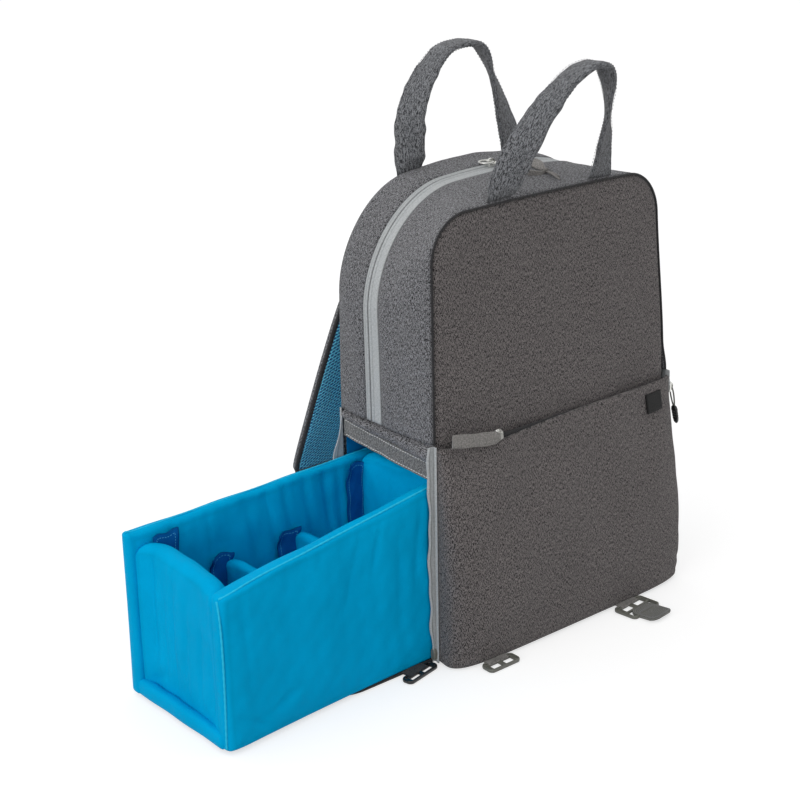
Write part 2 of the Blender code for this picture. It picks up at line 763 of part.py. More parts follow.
def make_main_sliders():
    """Two sliders that ride the crown of the arch, one with a ring, one with a folded fabric pull."""
    coil_y = float(leaning(COIL_Y, FRONT_TOP_Z))
    half_flat = MID_HALF_WIDTH
    crown_radius = half_flat**2 / (2 * MID_TOP_CROWN)
    crown_centre = (0.0, coil_y, crown_height(0.0) - crown_radius)
    for x, name in ((LEFT_SLIDER_X, "main_slider_left"), (RIGHT_SLIDER_X, "main_slider_right")):
        foot_z = crown_height(x) + SLIDER_LIFT
        lean = x / crown_radius
        along = (math.cos(lean), 0.0, -math.sin(lean))
        up = (math.sin(lean), 0.0, math.cos(lean))
        slider = slider_body(
            name, (x, coil_y, foot_z), along, up, SLIDER_LENGTH, SLIDER_WIDTH, SLIDER_HEIGHT, nickel(), (x, coil_y, foot_z)
        )
        track = joint_empty(name + "_track", crown_centre)
        carry(track, slider)
        hinge_z = foot_z + SLIDER_HEIGHT + BRIDGE_HEIGHT * 0.22
        hinge = joint_empty(name + "_pull_hinge", (x, coil_y, hinge_z))
        carry(slider, hinge)
        if name.endswith("left"):
            centre = (x - RING_R, coil_y, hinge_z)
            verts, faces = loft_mesh(
                ring_loops(centre, RING_R, RING_WIRE_R, (1.0, 0.0, 0.0), (0.0, 1.0, 0.0)), closed=True
            )
            pull = add_solid("main_pull_ring", verts, faces, nickel(), (x, coil_y, hinge_z))
        else:
            pull = fabric_pull("main_pull_fabric", x, coil_y, hinge_z)
        carry(hinge, pull)


def fabric_pull(name, x, y, z):
    """A folded fabric pull that lies forward over the gusset: a looped neck and a flat tail."""
    reach_shares = np.array((0.0, 0.12, 0.3, 0.5, 0.75, 1.0))
    width_shares = np.array((0.22, 0.3, 0.85, 1.0, 0.75, 0.55))
    start = SLIDER_WIDTH / 2 + 2 * GAP
    lean = math.radians(FABRIC_PULL_LEAN_DEG)
    reach = start + FABRIC_PULL_LENGTH * reach_shares
    path = np.stack(
        [
            x - FABRIC_PULL_DRIFT * reach_shares,
            y - reach * math.cos(lean),
            z - reach * math.sin(lean),
        ],
        axis=1,
    )
    across = np.tile(np.array((1.0, 0.0, 0.0)), (len(path), 1))
    loops = strap_loops(path, across, FABRIC_PULL_WIDTH * width_shares, FABRIC_PULL_T)
    verts, faces = loft_mesh(loops)
    return add_solid(name, verts, faces, band_grey(), (x, y, z))


def make_pocket_pull():
    """The pocket's slider at the left end of its zip, with a woven tab lying along the edge."""
    wall_x, wall_y = pocket_section(1.0, 0.0, 81)
    y = float(np.interp(POCKET_SLIDER_X, wall_x, wall_y)) + POCKET_T / 2
    z = POCKET_TOP_Z + POCKET_SLIDER_LIFT
    slider = slider_body(
        "pocket_slider", (POCKET_SLIDER_X, y, z), (1.0, 0.0, 0.0), (0.0, -math.sin(0.5), math.cos(0.5)),
        SLIDER_LENGTH, SLIDER_WIDTH * 0.7, SLIDER_HEIGHT, nickel(), (POCKET_SLIDER_X, y, z),
    )
    lean = math.radians(POCKET_TAB_LEAN_DEG)
    out = POCKET_T / 2 + POCKET_TAB_T + SLIDER_HEIGHT
    pivot = (POCKET_SLIDER_X, y - out - GAP, z)
    reach_shares = np.array((-0.025, 0.0, 0.1, 0.14, 0.55, 0.99, 1.0))
    width_shares = np.array((0.16, 0.3, 0.5, 1.0, 1.0, 1.0, 0.92))
    path = np.stack(
        [
            POCKET_SLIDER_X - POCKET_TAB_LENGTH * reach_shares,
            np.full(len(reach_shares), pivot[1]),
            np.full(len(reach_shares), z),
        ],
        axis=1,
    )
    across = np.tile(np.array((0.0, math.sin(lean), math.cos(lean))), (len(path), 1))
    loops = strap_loops(path, across, POCKET_TAB_WIDTH * width_shares, POCKET_TAB_T)
    verts, faces = loft_mesh(loops)
    tab = add_solid("pocket_pull_tab", verts, faces, band_grey(), pivot)
    axis = np.array((0.0, math.cos(lean), -math.sin(lean)))
    pin = np.array(pivot) + np.outer((0.0, PULL_PIN_LENGTH), axis)
    join_on(tab, *loft_mesh(round_loops(pin, PULL_PIN_R, 8, (1.0, 0.0, 0.0))), "pin")
    hinge = joint_empty("pocket_tab_hinge", pivot)
    carry(slider, hinge)
    carry(hinge, tab)


def side_strip(name, outline, x_face, out, thickness, material):
    """A flat piece on the side: an outline in Y and Z that stands `out` from the side's face."""
    face = x_face + math.copysign(out, x_face)
    inside = face - math.copysign(thickness, x_face)
    verts, faces = prism(outline, min(face, inside), max(face, inside), 0)
    return add_solid(name, verts, faces, material)


def make_left_opening():
    face = -HALF_WIDTH
    tape_top = GUSSET_FOOT_Z - GAP
    front_low = POCKET_REAR_Y + GAP
    front_high = SIDE_FRONT_Y - GAP
    side_strip(
        "left_zip_tape_front",
        [(front_low, SIDE_TAPE_FOOT_Z), (front_high, SIDE_TAPE_FOOT_Z), (front_high, tape_top), (front_low, tape_top)],
        face, SIDE_TAPE_PROUD, SIDE_TAPE_T, zip_grey(),
    )
    side_strip(
        "left_zip_tape_rear",
        [
            (SIDE_REAR_Y + GAP, SIDE_TAPE_FOOT_Z), (REAR_SEAM_Y, SIDE_TAPE_FOOT_Z),
            (REAR_SEAM_Y, tape_top), (SIDE_REAR_Y + GAP, tape_top),
        ],
        face, SIDE_TAPE_PROUD, SIDE_TAPE_T, zip_grey(),
    )
    side_strip(
        "left_top_band",
        [
            (SIDE_FRONT_Y, BAND_FRONT_Z), (SIDE_REAR_Y, BAND_REAR_Z),
            (SIDE_REAR_Y, BAND_REAR_Z + BAND_HEIGHT), (SIDE_FRONT_Y, BAND_FRONT_Z + BAND_HEIGHT),
        ],
        face, SIDE_TAPE_PROUD, BAND_T, band_grey(),
    )
    flap_columns = np.linspace(SIDE_FRONT_Y, SIDE_REAR_Y, 7)
    out_shares = (0.35, 0.8, 1.0, 0.8, 0.35)
    grids = []
    for layer in range(2):
        grid = []
        for k, share in enumerate(out_shares):
            low = np.interp(flap_columns, (SIDE_FRONT_Y, SIDE_REAR_Y), (BAND_FRONT_Z, BAND_REAR_Z))
            low = low + BAND_HEIGHT + GAP
            z = low + (tape_top - low) * k / (len(out_shares) - 1)
            out = FLAP_PROUD * share if layer == 0 else -BAND_T
            grid.append(np.stack([np.full_like(z, face - out), flap_columns, z], axis=1))
        grids.append(np.array(grid))
    verts, faces = shell_mesh(*grids)
    add_solid("left_rain_flap", verts, faces, heather())

    door_x = -base_half_width() - GAP
    verts, faces = prism(
        rounded_box(door_x - DOOR_LENGTH, SIDE_FRONT_Y, door_x, SIDE_REAR_Y, PIPING_R, steps=2), 0.0, DOOR_T, 2
    )
    add_solid("left_door_flap", verts, faces, heather())

    slider_y = (front_low + front_high) / 2
    slider_x = face - SIDE_TAPE_PROUD - GAP
    place = (slider_x, slider_y, LEFT_SLIDER_FOOT_Z + SIDE_SLIDER_LENGTH / 2)
    slider_body(
        "left_door_slider", place, (0.0, 0.0, 1.0), (-1.0, 0.0, 0.0), SIDE_SLIDER_LENGTH, SIDE_SLIDER_WIDTH,
        SIDE_SLIDER_HEIGHT, zip_grey(), place, False,
    )


def make_right_side():
    """The hidden right side: a closed door in its zip surround, which hinges at the ground."""
    face = HALF_WIDTH
    top = GUSSET_FOOT_Z - GAP
    front_low = POCKET_REAR_Y + GAP
    surround = [
        (front_low, SIDE_TAPE_FOOT_Z), (SIDE_FRONT_Y, SIDE_TAPE_FOOT_Z), (SIDE_FRONT_Y, RIGHT_DOOR_TOP_Z + GAP),
        (SIDE_REAR_Y, RIGHT_DOOR_TOP_Z + GAP), (SIDE_REAR_Y, SIDE_TAPE_FOOT_Z), (REAR_SEAM_Y, SIDE_TAPE_FOOT_Z),
        (REAR_SEAM_Y, top), (front_low, top),
    ]
    side_strip("right_zip_surround", surround, face, SIDE_TAPE_PROUD, SIDE_TAPE_T, zip_grey())
    door_face = face + SIDE_TAPE_PROUD
    outline = rounded_box(
        SIDE_FRONT_Y + GAP, RIGHT_DOOR_FOOT_Z, SIDE_REAR_Y - GAP, RIGHT_DOOR_TOP_Z, PIPING_R, steps=2
    )
    verts, faces = prism(outline, door_face - RIGHT_DOOR_T, door_face, 0)
    hinge_place = (door_face, (SIDE_FRONT_Y + SIDE_REAR_Y) / 2, RIGHT_DOOR_FOOT_Z)
    add_solid("right_door", verts, faces, heather(), hinge_place)

    slider_y = (front_low + SIDE_FRONT_Y) / 2
    slider_x = door_face + GAP
    place = (slider_x, slider_y, RIGHT_SLIDER_Z)
    slider = slider_body(
        "right_door_slider", place, (0.0, 0.0, 1.0), (1.0, 0.0, 0.0), SIDE_SLIDER_LENGTH, SIDE_SLIDER_WIDTH,
        SIDE_SLIDER_HEIGHT, nickel(), place,
    )
    pivot_x = slider_x + SIDE_SLIDER_HEIGHT + BRIDGE_HEIGHT * 0.22
    pivot = (pivot_x, slider_y, RIGHT_SLIDER_Z)
    hinge = joint_empty("right_pull_hinge", pivot)
    carry(slider, hinge)
    carry(hinge, cord_pull("right_door_pull", pivot))


def cord_pull(name, pivot):
    """A cord loop through the slider's bridge that ends in a moulded grip and hangs a little outward."""
    turns = 24
    theta = np.arange(turns) * (2 * math.pi / turns)
    half_long = CORD_LOOP_LENGTH / 2
    swing = math.radians(CORD_SWING_DEG)
    hang = np.array((math.sin(swing), 0.0, -math.cos(swing)))
    aside = np.array((0.0, 1.0, 0.0))
    drop = half_long - half_long * np.cos(theta)
    path = np.array(pivot) + drop[:, None] * hang + CORD_LOOP_WIDTH / 2 * np.sin(theta)[:, None] * aside
    out = unit(path - path.mean(axis=0))
    normal = np.cross(hang, aside)
    phi = np.arange(6) * (2 * math.pi / 6)
    wire = out[:, None] * np.cos(phi)[None, :, None] + normal[None, None] * np.sin(phi)[None, :, None]
    verts, faces = loft_mesh(path[:, None] + CORD_R * wire, closed=True)
    pull = add_solid(name, verts, faces, black_plastic(), pivot)
    reach_shares = np.array((0.0, 0.15, 0.6, 0.9, 1.0))
    width_shares = np.array((0.5, 0.95, 1.0, 0.7, 0.4))
    reach = CORD_LOOP_LENGTH - 2 * CORD_R + CORD_GRIP_LENGTH * reach_shares
    grip_path = np.array(pivot) + reach[:, None] * hang
    across = np.tile(np.array((0.0, 1.0, 0.0)), (5, 1))
    join_on(pull, *loft_mesh(strap_loops(grip_path, across, CORD_GRIP_WIDTH * width_shares, CORD_GRIP_T)), "grip")
    return pull


def handle_path(route, lean_deg, seat):
    """A handle's centre line with the strap's width and width direction at each of its points.

    The width lies along X at the feet, where the strap is pressed thin into the seam, and turns
    to lie along Y at the top, so that the face that looks forward at the feet looks up at the top.
    """
    lean = math.radians(lean_deg)
    up = np.array((0.0, math.sin(lean), math.cos(lean)))
    flat = np.array(route)
    points = np.array(seat) + flat[:, :1] * np.array((1.0, 0.0, 0.0)) + flat[:, 1:] * up
    path = smooth_path(points, HANDLE_STEPS)
    tangent = unit(np.gradient(path, axis=0))
    inward = np.cross(tangent, np.cross(up, (1.0, 0.0, 0.0)))
    run = np.linspace(0, 1, HANDLE_STEPS + 1)
    power = np.where(run < 0.5, *HANDLE_TURN_POWERS)
    rise = np.clip(HANDLE_TURN_RATE * np.minimum(run, 1 - run), 0, 1) ** power
    turn = np.radians(HANDLE_FOOT_TURN_DEG + (90 - HANDLE_FOOT_TURN_DEG) * rise)[:, None]
    turn[[1, -2]] = turn[0]
    turn[[0, -1]] = 0
    across = np.cos(turn) * inward + np.sin(turn) * np.array((0.0, 1.0, 0.0))
    width = HANDLE_FOOT_WIDTH + (HANDLE_TOP_WIDTH - HANDLE_FOOT_WIDTH) * rise
    return path, across, width


def make_handles():
    plans = (
        ("front_handle", FRONT_HANDLE_ROUTE, FRONT_HANDLE_LEAN_DEG, FRONT_SEAM_Y + PIPING_R + HANDLE_SEAT),
        ("rear_handle", REAR_HANDLE_ROUTE, REAR_HANDLE_LEAN_DEG, REAR_SEAM_Y - HANDLE_SEAT),
    )
    for name, route, lean_deg, depth_y in plans:
        nearest = min(abs(route[0][0]), abs(route[-1][0])) - HANDLE_FOOT_WIDTH / 2
        line_x, line_z = arch_line(depth_y + HANDLE_TIP_T, 0.0, GUSSET_FOOT_Z)
        seat_z = float(np.interp(nearest, line_x, line_z)) + GAP + HANDLE_TIP_T / 4
        seat = (0.0, float(leaning(depth_y, FRONT_TOP_Z)), seat_z)
        path, across, width = handle_path(route, lean_deg, seat)
        thickness = np.full(len(path), HANDLE_T)
        thickness[[0, -1]] = HANDLE_TIP_T
        loops = strap_loops(path, across, width, thickness)
        for end in (0, -1):
            foot_x = loops[end][:, 0]
            height = np.interp(foot_x, line_x, line_z)
            along = np.linspace(foot_x.min(), foot_x.max(), 9)
            chord = np.linspace(height[foot_x.argmin()], height[foot_x.argmax()], 9)
            rise = float((np.interp(along, line_x, line_z) - chord).max())
            loops[end][:, 2] = height + rise + GAP + HANDLE_TIP_T / 4
        verts, faces = loft_mesh(loops)
        add_solid(name, verts, faces, heather(), seat)


def make_shoulder_straps():
    route = smooth_path(STRAP_ROUTE, 18)
    for side, label in ((1, "left"), (-1, "right")):
        mirror = np.array((side, 1.0, 1.0))
        path = route * mirror
        across = np.tile(np.array((1.0, 0.0, 0.0)), (len(path), 1))
        verts, faces = loft_mesh(strap_loops(path, across, STRAP_WIDTH, STRAP_T, 0.7))
        hinge = tuple(path[0])
        strap = add_solid("shoulder_strap_" + label, verts, faces, heather(), hinge)
        end = path[-1]
        down = unit(path[-1] - path[-2])
        adjuster = strap_adjuster("strap_adjuster_" + label, end, down)
        carry(strap, adjuster)
        anchor = np.array((-side * (HALF_WIDTH - ANCHOR_INSET), REAR_SEAM_Y + 2 * GAP + BACK_T + WEBBING_T / 2, ANCHOR_Z))
        web_end = end + down * (ADJUSTER_LENGTH + WEBBING_T)
        middle = (anchor + web_end) / 2 + np.array((0.0, 0.3, -0.5)) * WEBBING_WIDTH
        web_path = smooth_path((anchor, anchor + np.array((0.0, 0.15, -0.5)) * WEBBING_WIDTH, middle, web_end), 10)
        across = np.tile(np.array((1.0, 0.0, 0.0)), (len(web_path), 1))
        verts, faces = loft_mesh(strap_loops(web_path, across, WEBBING_WIDTH, WEBBING_T))
        add_solid("strap_webbing_" + label, verts, faces, band_grey())


def strap_adjuster(name, end, down):
    """A ladder lock at the padded strap's end: a frame with two slots between three bars."""
    start = end + down * GAP
    across = np.array((1.0, 0.0, 0.0))
    normal = unit(np.cross(across, down))
    turn = Matrix((Vector(across), Vector(down), Vector(normal))).transposed()
    outline = rounded_box(-ADJUSTER_WIDTH / 2, 0.0, ADJUSTER_WIDTH / 2, ADJUSTER_LENGTH, ADJUSTER_BAR / 2, steps=3)
    loops = []
    for level in (-ADJUSTER_T / 2, ADJUSTER_T / 2):
        loops.append([turn @ Vector((a, b, level)) + Vector(start) for a, b in outline])
    frame = add_solid(name, *loft_mesh(np.array(loops)), black_plastic(), tuple(start))
    slot = (ADJUSTER_LENGTH - 3 * ADJUSTER_BAR) / 2
    half = ADJUSTER_WIDTH / 2 - ADJUSTER_BAR
    for k in range(2):
        low = ADJUSTER_BAR + k * (slot + ADJUSTER_BAR)
        hole = []
        for level in (-ADJUSTER_T, ADJUSTER_T):
            corners = ((-half, low), (half, low), (half, low + slot), (-half, low + slot))
            hole.append([turn @ Vector((a, b, level)) + Vector(start) for a, b in corners])
        add_cut(frame, *loft_mesh(np.array(hole)))
    return frame


def buckle_frame(name, place, turn_deg, length, tail, material):
    """A webbing buckle that lies flat, forward of its bar: a slot for webbing and two windows.

    The one with a tail ends in a rounded tab.
    """
    slot_end = BUCKLE_RIM / 2 + BUCKLE_SLOT_LENGTH
    window_at = slot_end + BUCKLE_RIM * 0.7 + BUCKLE_WINDOW_LENGTH / 2
    rows = [
        (-BUCKLE_RIM / 2, 0.88), (BUCKLE_RIM / 2, 1.0), (slot_end, 1.0), (length - 2 * BUCKLE_RIM, 1.0),
        (length - BUCKLE_RIM / 2, 0.84),
    ]
    if tail:
        tail_share = TAIL_WIDTH / BUCKLE_WIDTH
        rows += [
            (length, tail_share * 1.04), (length + TAIL_LENGTH * 0.5, tail_share),
            (length + TAIL_LENGTH * 0.85, tail_share * 0.8), (length + TAIL_LENGTH, tail_share * 0.35),
        ]
    turn = Matrix.Rotation(math.radians(turn_deg), 4, "Z")
    column_shares = (-1.0, -0.6, 0.0, 0.6, 1.0)

    def world(across, out, z):
        return tuple(turn @ Vector((across, -out, 0.0)) + Vector((place[0], place[1], z)))

    grids = []
    for level in (BUCKLE_T, 0.0):
        grid = []
        for out, share in rows:
            lift = TAIL_RISE * max(0.0, (out - length) / TAIL_LENGTH) ** 2
            grid.append([world(s * share * BUCKLE_WIDTH / 2, out, level + lift) for s in column_shares])
        grids.append(np.array(grid))
    frame = add_solid(name, *shell_mesh(*grids), material, place)
    low, high = -OVERRUN, BUCKLE_T + OVERRUN
    half_slot = BUCKLE_WIDTH / 2 - BUCKLE_RIM
    slot = [(-half_slot, BUCKLE_RIM / 2), (half_slot, BUCKLE_RIM / 2), (half_slot, slot_end), (-half_slot, slot_end)]
    holes = [slot]
    for side in (-1, 1):
        middle = side * BUCKLE_WINDOW_PITCH / 2
        holes.append(
            rounded_box(
                middle - BUCKLE_WINDOW_WIDTH / 2, window_at - BUCKLE_WINDOW_LENGTH / 2,
                middle + BUCKLE_WINDOW_WIDTH / 2, window_at + BUCKLE_WINDOW_LENGTH / 2,
                BUCKLE_WINDOW_LENGTH * 0.48, steps=3,
            )
        )
    for hole in holes:
        loops = [[world(a, b, z) for a, b in hole] for z in (low, high)]
        add_cut(frame, *loft_mesh(np.array(loops)))
    return frame


def make_bottom_buckles():
    """Three buckles on short webbing tongues: two at the front's foot, one at the door's corner."""
    plans = (
        ("left_buckle", LEFT_BUCKLE_X, 0.0, SHORT_BUCKLE_LENGTH, False, grey_plastic()),
        ("right_buckle", RIGHT_BUCKLE_X, RIGHT_BUCKLE_TURN_DEG, LONG_BUCKLE_LENGTH, True, grey_plastic()),
        ("corner_buckle", -HALF_WIDTH - CORNER_BUCKLE_OUT, CORNER_BUCKLE_TURN_DEG, SHORT_BUCKLE_LENGTH, False, black_plastic()),
    )
    for name, x, turn_deg, length, tail, material in plans:
        ends = np.array((x - TONGUE_WIDTH / 2, x + TONGUE_WIDTH / 2))
        if name == "corner_buckle":
            start = SIDE_FRONT_Y - GAP
            route = ((start, TONGUE_T / 2), (start - CORNER_TONGUE_LENGTH, TONGUE_T / 2))
            bar_y = CORNER_BUCKLE_Y
        else:
            route = []
            for z in np.linspace(TONGUE_TOP_Z, TONGUE_FOOT_Z, 4):
                wall_x, wall_y = pocket_section(z / POCKET_TOP_Z, 0.0, 81)
                near = float(np.interp(ends, wall_x, wall_y).min())
                route.append((near - GAP - TONGUE_T * 0.6, z))
            bar_y = route[-1][0] - TONGUE_T / 2 - BUCKLE_RIM / 2 - GAP
        path = np.array([(x, y, z) for y, z in route])
        across = np.tile(np.array((1.0, 0.0, 0.0)), (len(path), 1))
        verts, faces = loft_mesh(strap_loops(path, across, TONGUE_WIDTH, TONGUE_T))
        add_solid(name + "_webbing", verts, faces, band_grey())
        buckle_frame(name, (x, bar_y, BUCKLE_T / 2), turn_deg, length, tail, material)


def padded_board(name, x_low, x_high, y_low, y_high, tops, material, foot=INSERT_Z):
    """An upright board with soft edges; its top runs through (share along it, height) pairs."""
    runs_x = (x_high - x_low) > (y_high - y_low)
    shares = np.array([s for s, _ in tops])
    heights = np.array([h for _, h in tops])
    low, high = (x_low, x_high) if runs_x else (y_low, y_high)
    outline = [(low, foot), (high, foot)]
    outline += [(low + (high - low) * s, h) for s, h in zip(shares[::-1], heights[::-1])]
    if runs_x:
        verts, faces = prism(outline, y_low, y_high, 1)
    else:
        verts, faces = prism(outline, x_low, x_high, 0)
    board = add_solid(name, verts, faces, material)
    soften(board, WALL_EDGE_R)
    return board


def arched_tops(height, arch, count=9):
    """A top edge that rises by `arch` from its ends to its middle."""
    return [(s, height - arch * abs(2 * s - 1) ** 2.5) for s in np.linspace(0, 1, count)]


def make_insert():
    """The padded insert: a floor, four walls and two dividers, drawn out through the left side."""
    outer = INSERT_OUTER_X
    inner = INSERT_OUTER_X + INSERT_LENGTH
    floor_top = INSERT_Z + INSERT_FLOOR_T
    bay_front = INSERT_FRONT_Y + INSERT_WALL_T + GAP
    bay_rear = INSERT_REAR_Y - INSERT_WALL_T - GAP
    slide = joint_empty("insert_slide", (outer, (INSERT_FRONT_Y + INSERT_REAR_Y) / 2, INSERT_Z))
    floor_verts, floor_faces = prism(
        rounded_box(outer, bay_front, inner, bay_rear, WALL_EDGE_R, steps=2), INSERT_Z, floor_top, 2
    )
    pieces = [add_solid("insert_floor", floor_verts, floor_faces, blue_nylon())]
    soften(pieces[0], WALL_EDGE_R / 2)
    for name, low, high, tops in (
        ("insert_front_wall", INSERT_FRONT_Y, INSERT_FRONT_Y + INSERT_WALL_T, FRONT_WALL_TOPS),
        ("insert_rear_wall", INSERT_REAR_Y - INSERT_WALL_T, INSERT_REAR_Y, REAR_WALL_TOPS),
    ):
        pieces.append(padded_board(name, outer, inner, low, high, tops, blue_nylon()))
    end_foot = floor_top + GAP
    outer_end = outer + END_SETBACK
    inner_end = inner - END_SETBACK
    pieces.append(
        padded_board(
            "insert_outer_end", outer_end, outer_end + END_T, bay_front, bay_rear,
            OUTER_END_TOPS, blue_nylon(), end_foot,
        )
    )
    pieces.append(
        padded_board(
            "insert_inner_end", inner_end - END_T, inner_end, bay_front, bay_rear,
            arched_tops(INNER_END_Z, END_ARCH / 2), blue_nylon(), end_foot,
        )
    )
    pieces.append(hook_tab("outer_end_tab", outer_end + END_T + GAP, 1, bay_rear, TAB_TOP_Z, END_TAB_HEIGHT))
    pieces.append(hook_tab("inner_end_tab", inner_end - END_T - GAP, -1, bay_rear, INNER_END_Z, END_TAB_HEIGHT))
    carry(slide, *pieces)
    for name, x, height in (
        ("divider_outer", OUTER_DIVIDER_X, OUTER_DIVIDER_Z),
        ("divider_inner", INNER_DIVIDER_X, INNER_DIVIDER_Z),
    ):
        board = padded_board(
            name, x - DIVIDER_T / 2, x + DIVIDER_T / 2, bay_front, bay_rear,
            arched_tops(height, END_ARCH / 2), blue_nylon(), end_foot,
        )
        tab = hook_tab(name + "_tab", x - DIVIDER_T / 2 - GAP, -1, bay_rear, height, TAB_HEIGHT)
        runner = joint_empty(name + "_runner", (x, (bay_front + bay_rear) / 2, end_foot))
        carry(slide, runner)
        carry(runner, board, tab)


def hook_tab(name, x, direction, wall_y, top, height):
    """A hook-and-loop tab flat on the rear wall, beside the board that it holds."""
    far = x + direction * TAB_LENGTH
    outline = rounded_box(min(x, far), top - height, max(x, far), top, TAB_T * 2, steps=2)
    verts, faces = prism(outline, wall_y - TAB_T, wall_y, 1)
    return add_solid(name, verts, faces, hook_navy())


def main():
    clear_scene()
    make_body()
    make_pocket()
    make_main_sliders()
    make_pocket_pull()
    make_left_opening()
    make_right_side()
    make_handles()
    make_shoulder_straps()
    make_bottom_buckles()
    make_insert()


main()
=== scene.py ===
"""Looks for the camera backpack: heather canvas, zips, straps, buckles and the blue padded insert.

Every piece is a surface worked out with numpy in the CAD model's own frame and metres, and
stands for one or more CAD nodes. The front faces -Y and +X is on the viewer's right.
"""
import math

import bmesh
import bpy
import numpy as np
from mathutils import Matrix, Vector

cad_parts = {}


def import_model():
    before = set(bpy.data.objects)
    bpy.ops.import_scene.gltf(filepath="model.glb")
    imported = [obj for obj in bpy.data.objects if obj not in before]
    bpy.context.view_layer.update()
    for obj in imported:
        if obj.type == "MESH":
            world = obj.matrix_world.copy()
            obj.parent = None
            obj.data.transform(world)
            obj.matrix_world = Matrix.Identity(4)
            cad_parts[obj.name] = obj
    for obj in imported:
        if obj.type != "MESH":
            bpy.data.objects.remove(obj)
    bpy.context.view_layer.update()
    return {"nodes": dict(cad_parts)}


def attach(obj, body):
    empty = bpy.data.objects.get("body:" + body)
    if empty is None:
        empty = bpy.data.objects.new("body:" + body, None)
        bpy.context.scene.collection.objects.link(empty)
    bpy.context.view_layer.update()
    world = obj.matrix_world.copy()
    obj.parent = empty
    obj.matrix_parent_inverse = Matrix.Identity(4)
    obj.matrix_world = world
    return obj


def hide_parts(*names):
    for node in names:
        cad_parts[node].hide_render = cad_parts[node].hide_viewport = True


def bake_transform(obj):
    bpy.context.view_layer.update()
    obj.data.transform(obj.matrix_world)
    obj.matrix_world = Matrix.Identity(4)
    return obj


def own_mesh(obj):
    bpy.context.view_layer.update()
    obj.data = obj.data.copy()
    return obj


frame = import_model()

PI, TAU, MM = math.pi, 2 * math.pi, 0.001

# Sizes that the CAD model also uses
HALF_WIDTH = 0.145
FRONT_SEAM_Y, COIL_Y, REAR_SEAM_Y = -0.066, 0.015, 0.062
TAPE_FRONT_Y, TAPE_REAR_Y = 0.001, 0.022
SHOULDER_Z, FRONT_TOP_Z = 0.200, 0.400
FRONT_LEAN = 0.009
FOOT_Z = 0.2065
PIPING_R = 0.0018
POCKET_TOP_Z, POCKET_REAR_Y, POCKET_DEPTH = 0.203, -0.0703, 0.031
SIDE_FRONT_Y, SIDE_REAR_Y = -0.0635, 0.057
TAPE_TOP_Z = FOOT_Z - 0.0003

# The arch's sizes at the front seam, the zip and the rear seam
HALF_WIDTHS = (HALF_WIDTH, 0.1475, HALF_WIDTH)
SHOULDER_RADII = (0.040, 0.091, 0.077)
TOPS = (FRONT_TOP_Z, 0.395, 0.391)
CROWNS = (0.002, 0.016, 0.022)
TAPERS = (0.05, 0.005, 0.02)
RIGHT_FRONT_TUCK = 0.0042

# Light: the sky's share for shading, the lamps' power and the floor's own glow
AMBIENT, FLOOR_GLOW = 0.76, 0.63
OVERHEAD_POWER, FILL_POWER = 7.0, 17.0


# ---------------------------------------------------------------- shape helpers

def unit(rows):
    """Rows scaled to length 1."""
    return rows / np.maximum(np.linalg.norm(rows, axis=-1, keepdims=True), 1e-12)


def smoothstep(x):
    """Rises from 0 to 1 with level ends: three x squared less two x cubed."""
    x = np.clip(x, 0, 1)
    return x * x * (3 - 2 * x)


def bell(x):
    """A bump of height 1 about zero: e to the power of minus x squared."""
    return np.exp(-(x**2))


def signed_power(x, power):
    """The size raised to a power, with the sign kept: squares off a circle's cosine and sine."""
    return np.sign(x) * np.abs(x) ** power


def circle(count):
    """Cosine and sine of equal turns round a circle."""
    turn = np.arange(count) * TAU / count
    return np.cos(turn), np.sin(turn)


def bend_through(x, xs, ys):
    """Cubic curve through the pairs: each span's end slopes are the mean of its neighbours'."""
    xs, ys = np.array(xs, float), np.array(ys, float)
    slopes = np.gradient(ys, xs)
    x = np.clip(x, xs[0], xs[-1])
    k = np.clip(np.searchsorted(xs, x, side="right") - 1, 0, len(xs) - 2)
    span = xs[k + 1] - xs[k]
    t = (x - xs[k]) / span
    return (
        (2 * t**3 - 3 * t**2 + 1) * ys[k] + (t**3 - 2 * t**2 + t) * span * slopes[k]
        + (-2 * t**3 + 3 * t**2) * ys[k + 1] + (t**3 - t**2) * span * slopes[k + 1]
    )


def smooth_path(points, steps):
    """Catmull-Rom curve through the points, read at equal steps of its length."""
    pts = np.array(points, float)
    ends = np.vstack([2 * pts[0] - pts[1], pts, 2 * pts[-1] - pts[-2]])
    t = np.linspace(0, 1, 24, endpoint=False)[:, None]
    runs = [
        0.5 * (2 * b + (c - a) * t + (2 * a - 5 * b + 4 * c - d) * t**2 + (3 * b - a - 3 * c + d) * t**3)
        for a, b, c, d in zip(ends[:-3], ends[1:-2], ends[2:-1], ends[3:])
    ]
    return even_steps(np.vstack(runs + [pts[-1:]]), steps + 1)


def even_steps(points, count):
    """The same line with `count` points at equal steps of its length."""
    length = path_length(points)
    even = np.linspace(0, length[-1], count)
    return np.stack([np.interp(even, length, points[:, k]) for k in range(points.shape[1])], axis=1)


def path_length(points):
    """Length along a line up to each of its points."""
    steps = np.linalg.norm(np.diff(points, axis=0), axis=1)
    return np.concatenate([[0], np.cumsum(steps)])


def ripple(points, size, amount, seed):
    """Gentle waves: the sum of seven sines in fixed, unlike directions, about `size` long."""
    draw = np.random.default_rng(seed)
    way = unit(draw.normal(size=(7, 3))) * (TAU / size) * draw.uniform(0.6, 1.7, (7, 1))
    phase = draw.uniform(0, TAU, 7)
    share = draw.uniform(0.5, 1.0, 7)
    return amount * (np.sin(points @ way.T + phase) * share).sum(axis=-1) / share.sum() * 1.8


def grid_normals(grid):
    """Unit normals of a grid: the cross product of its two directions of change."""
    return unit(np.cross(np.gradient(grid, axis=1), np.gradient(grid, axis=0)))


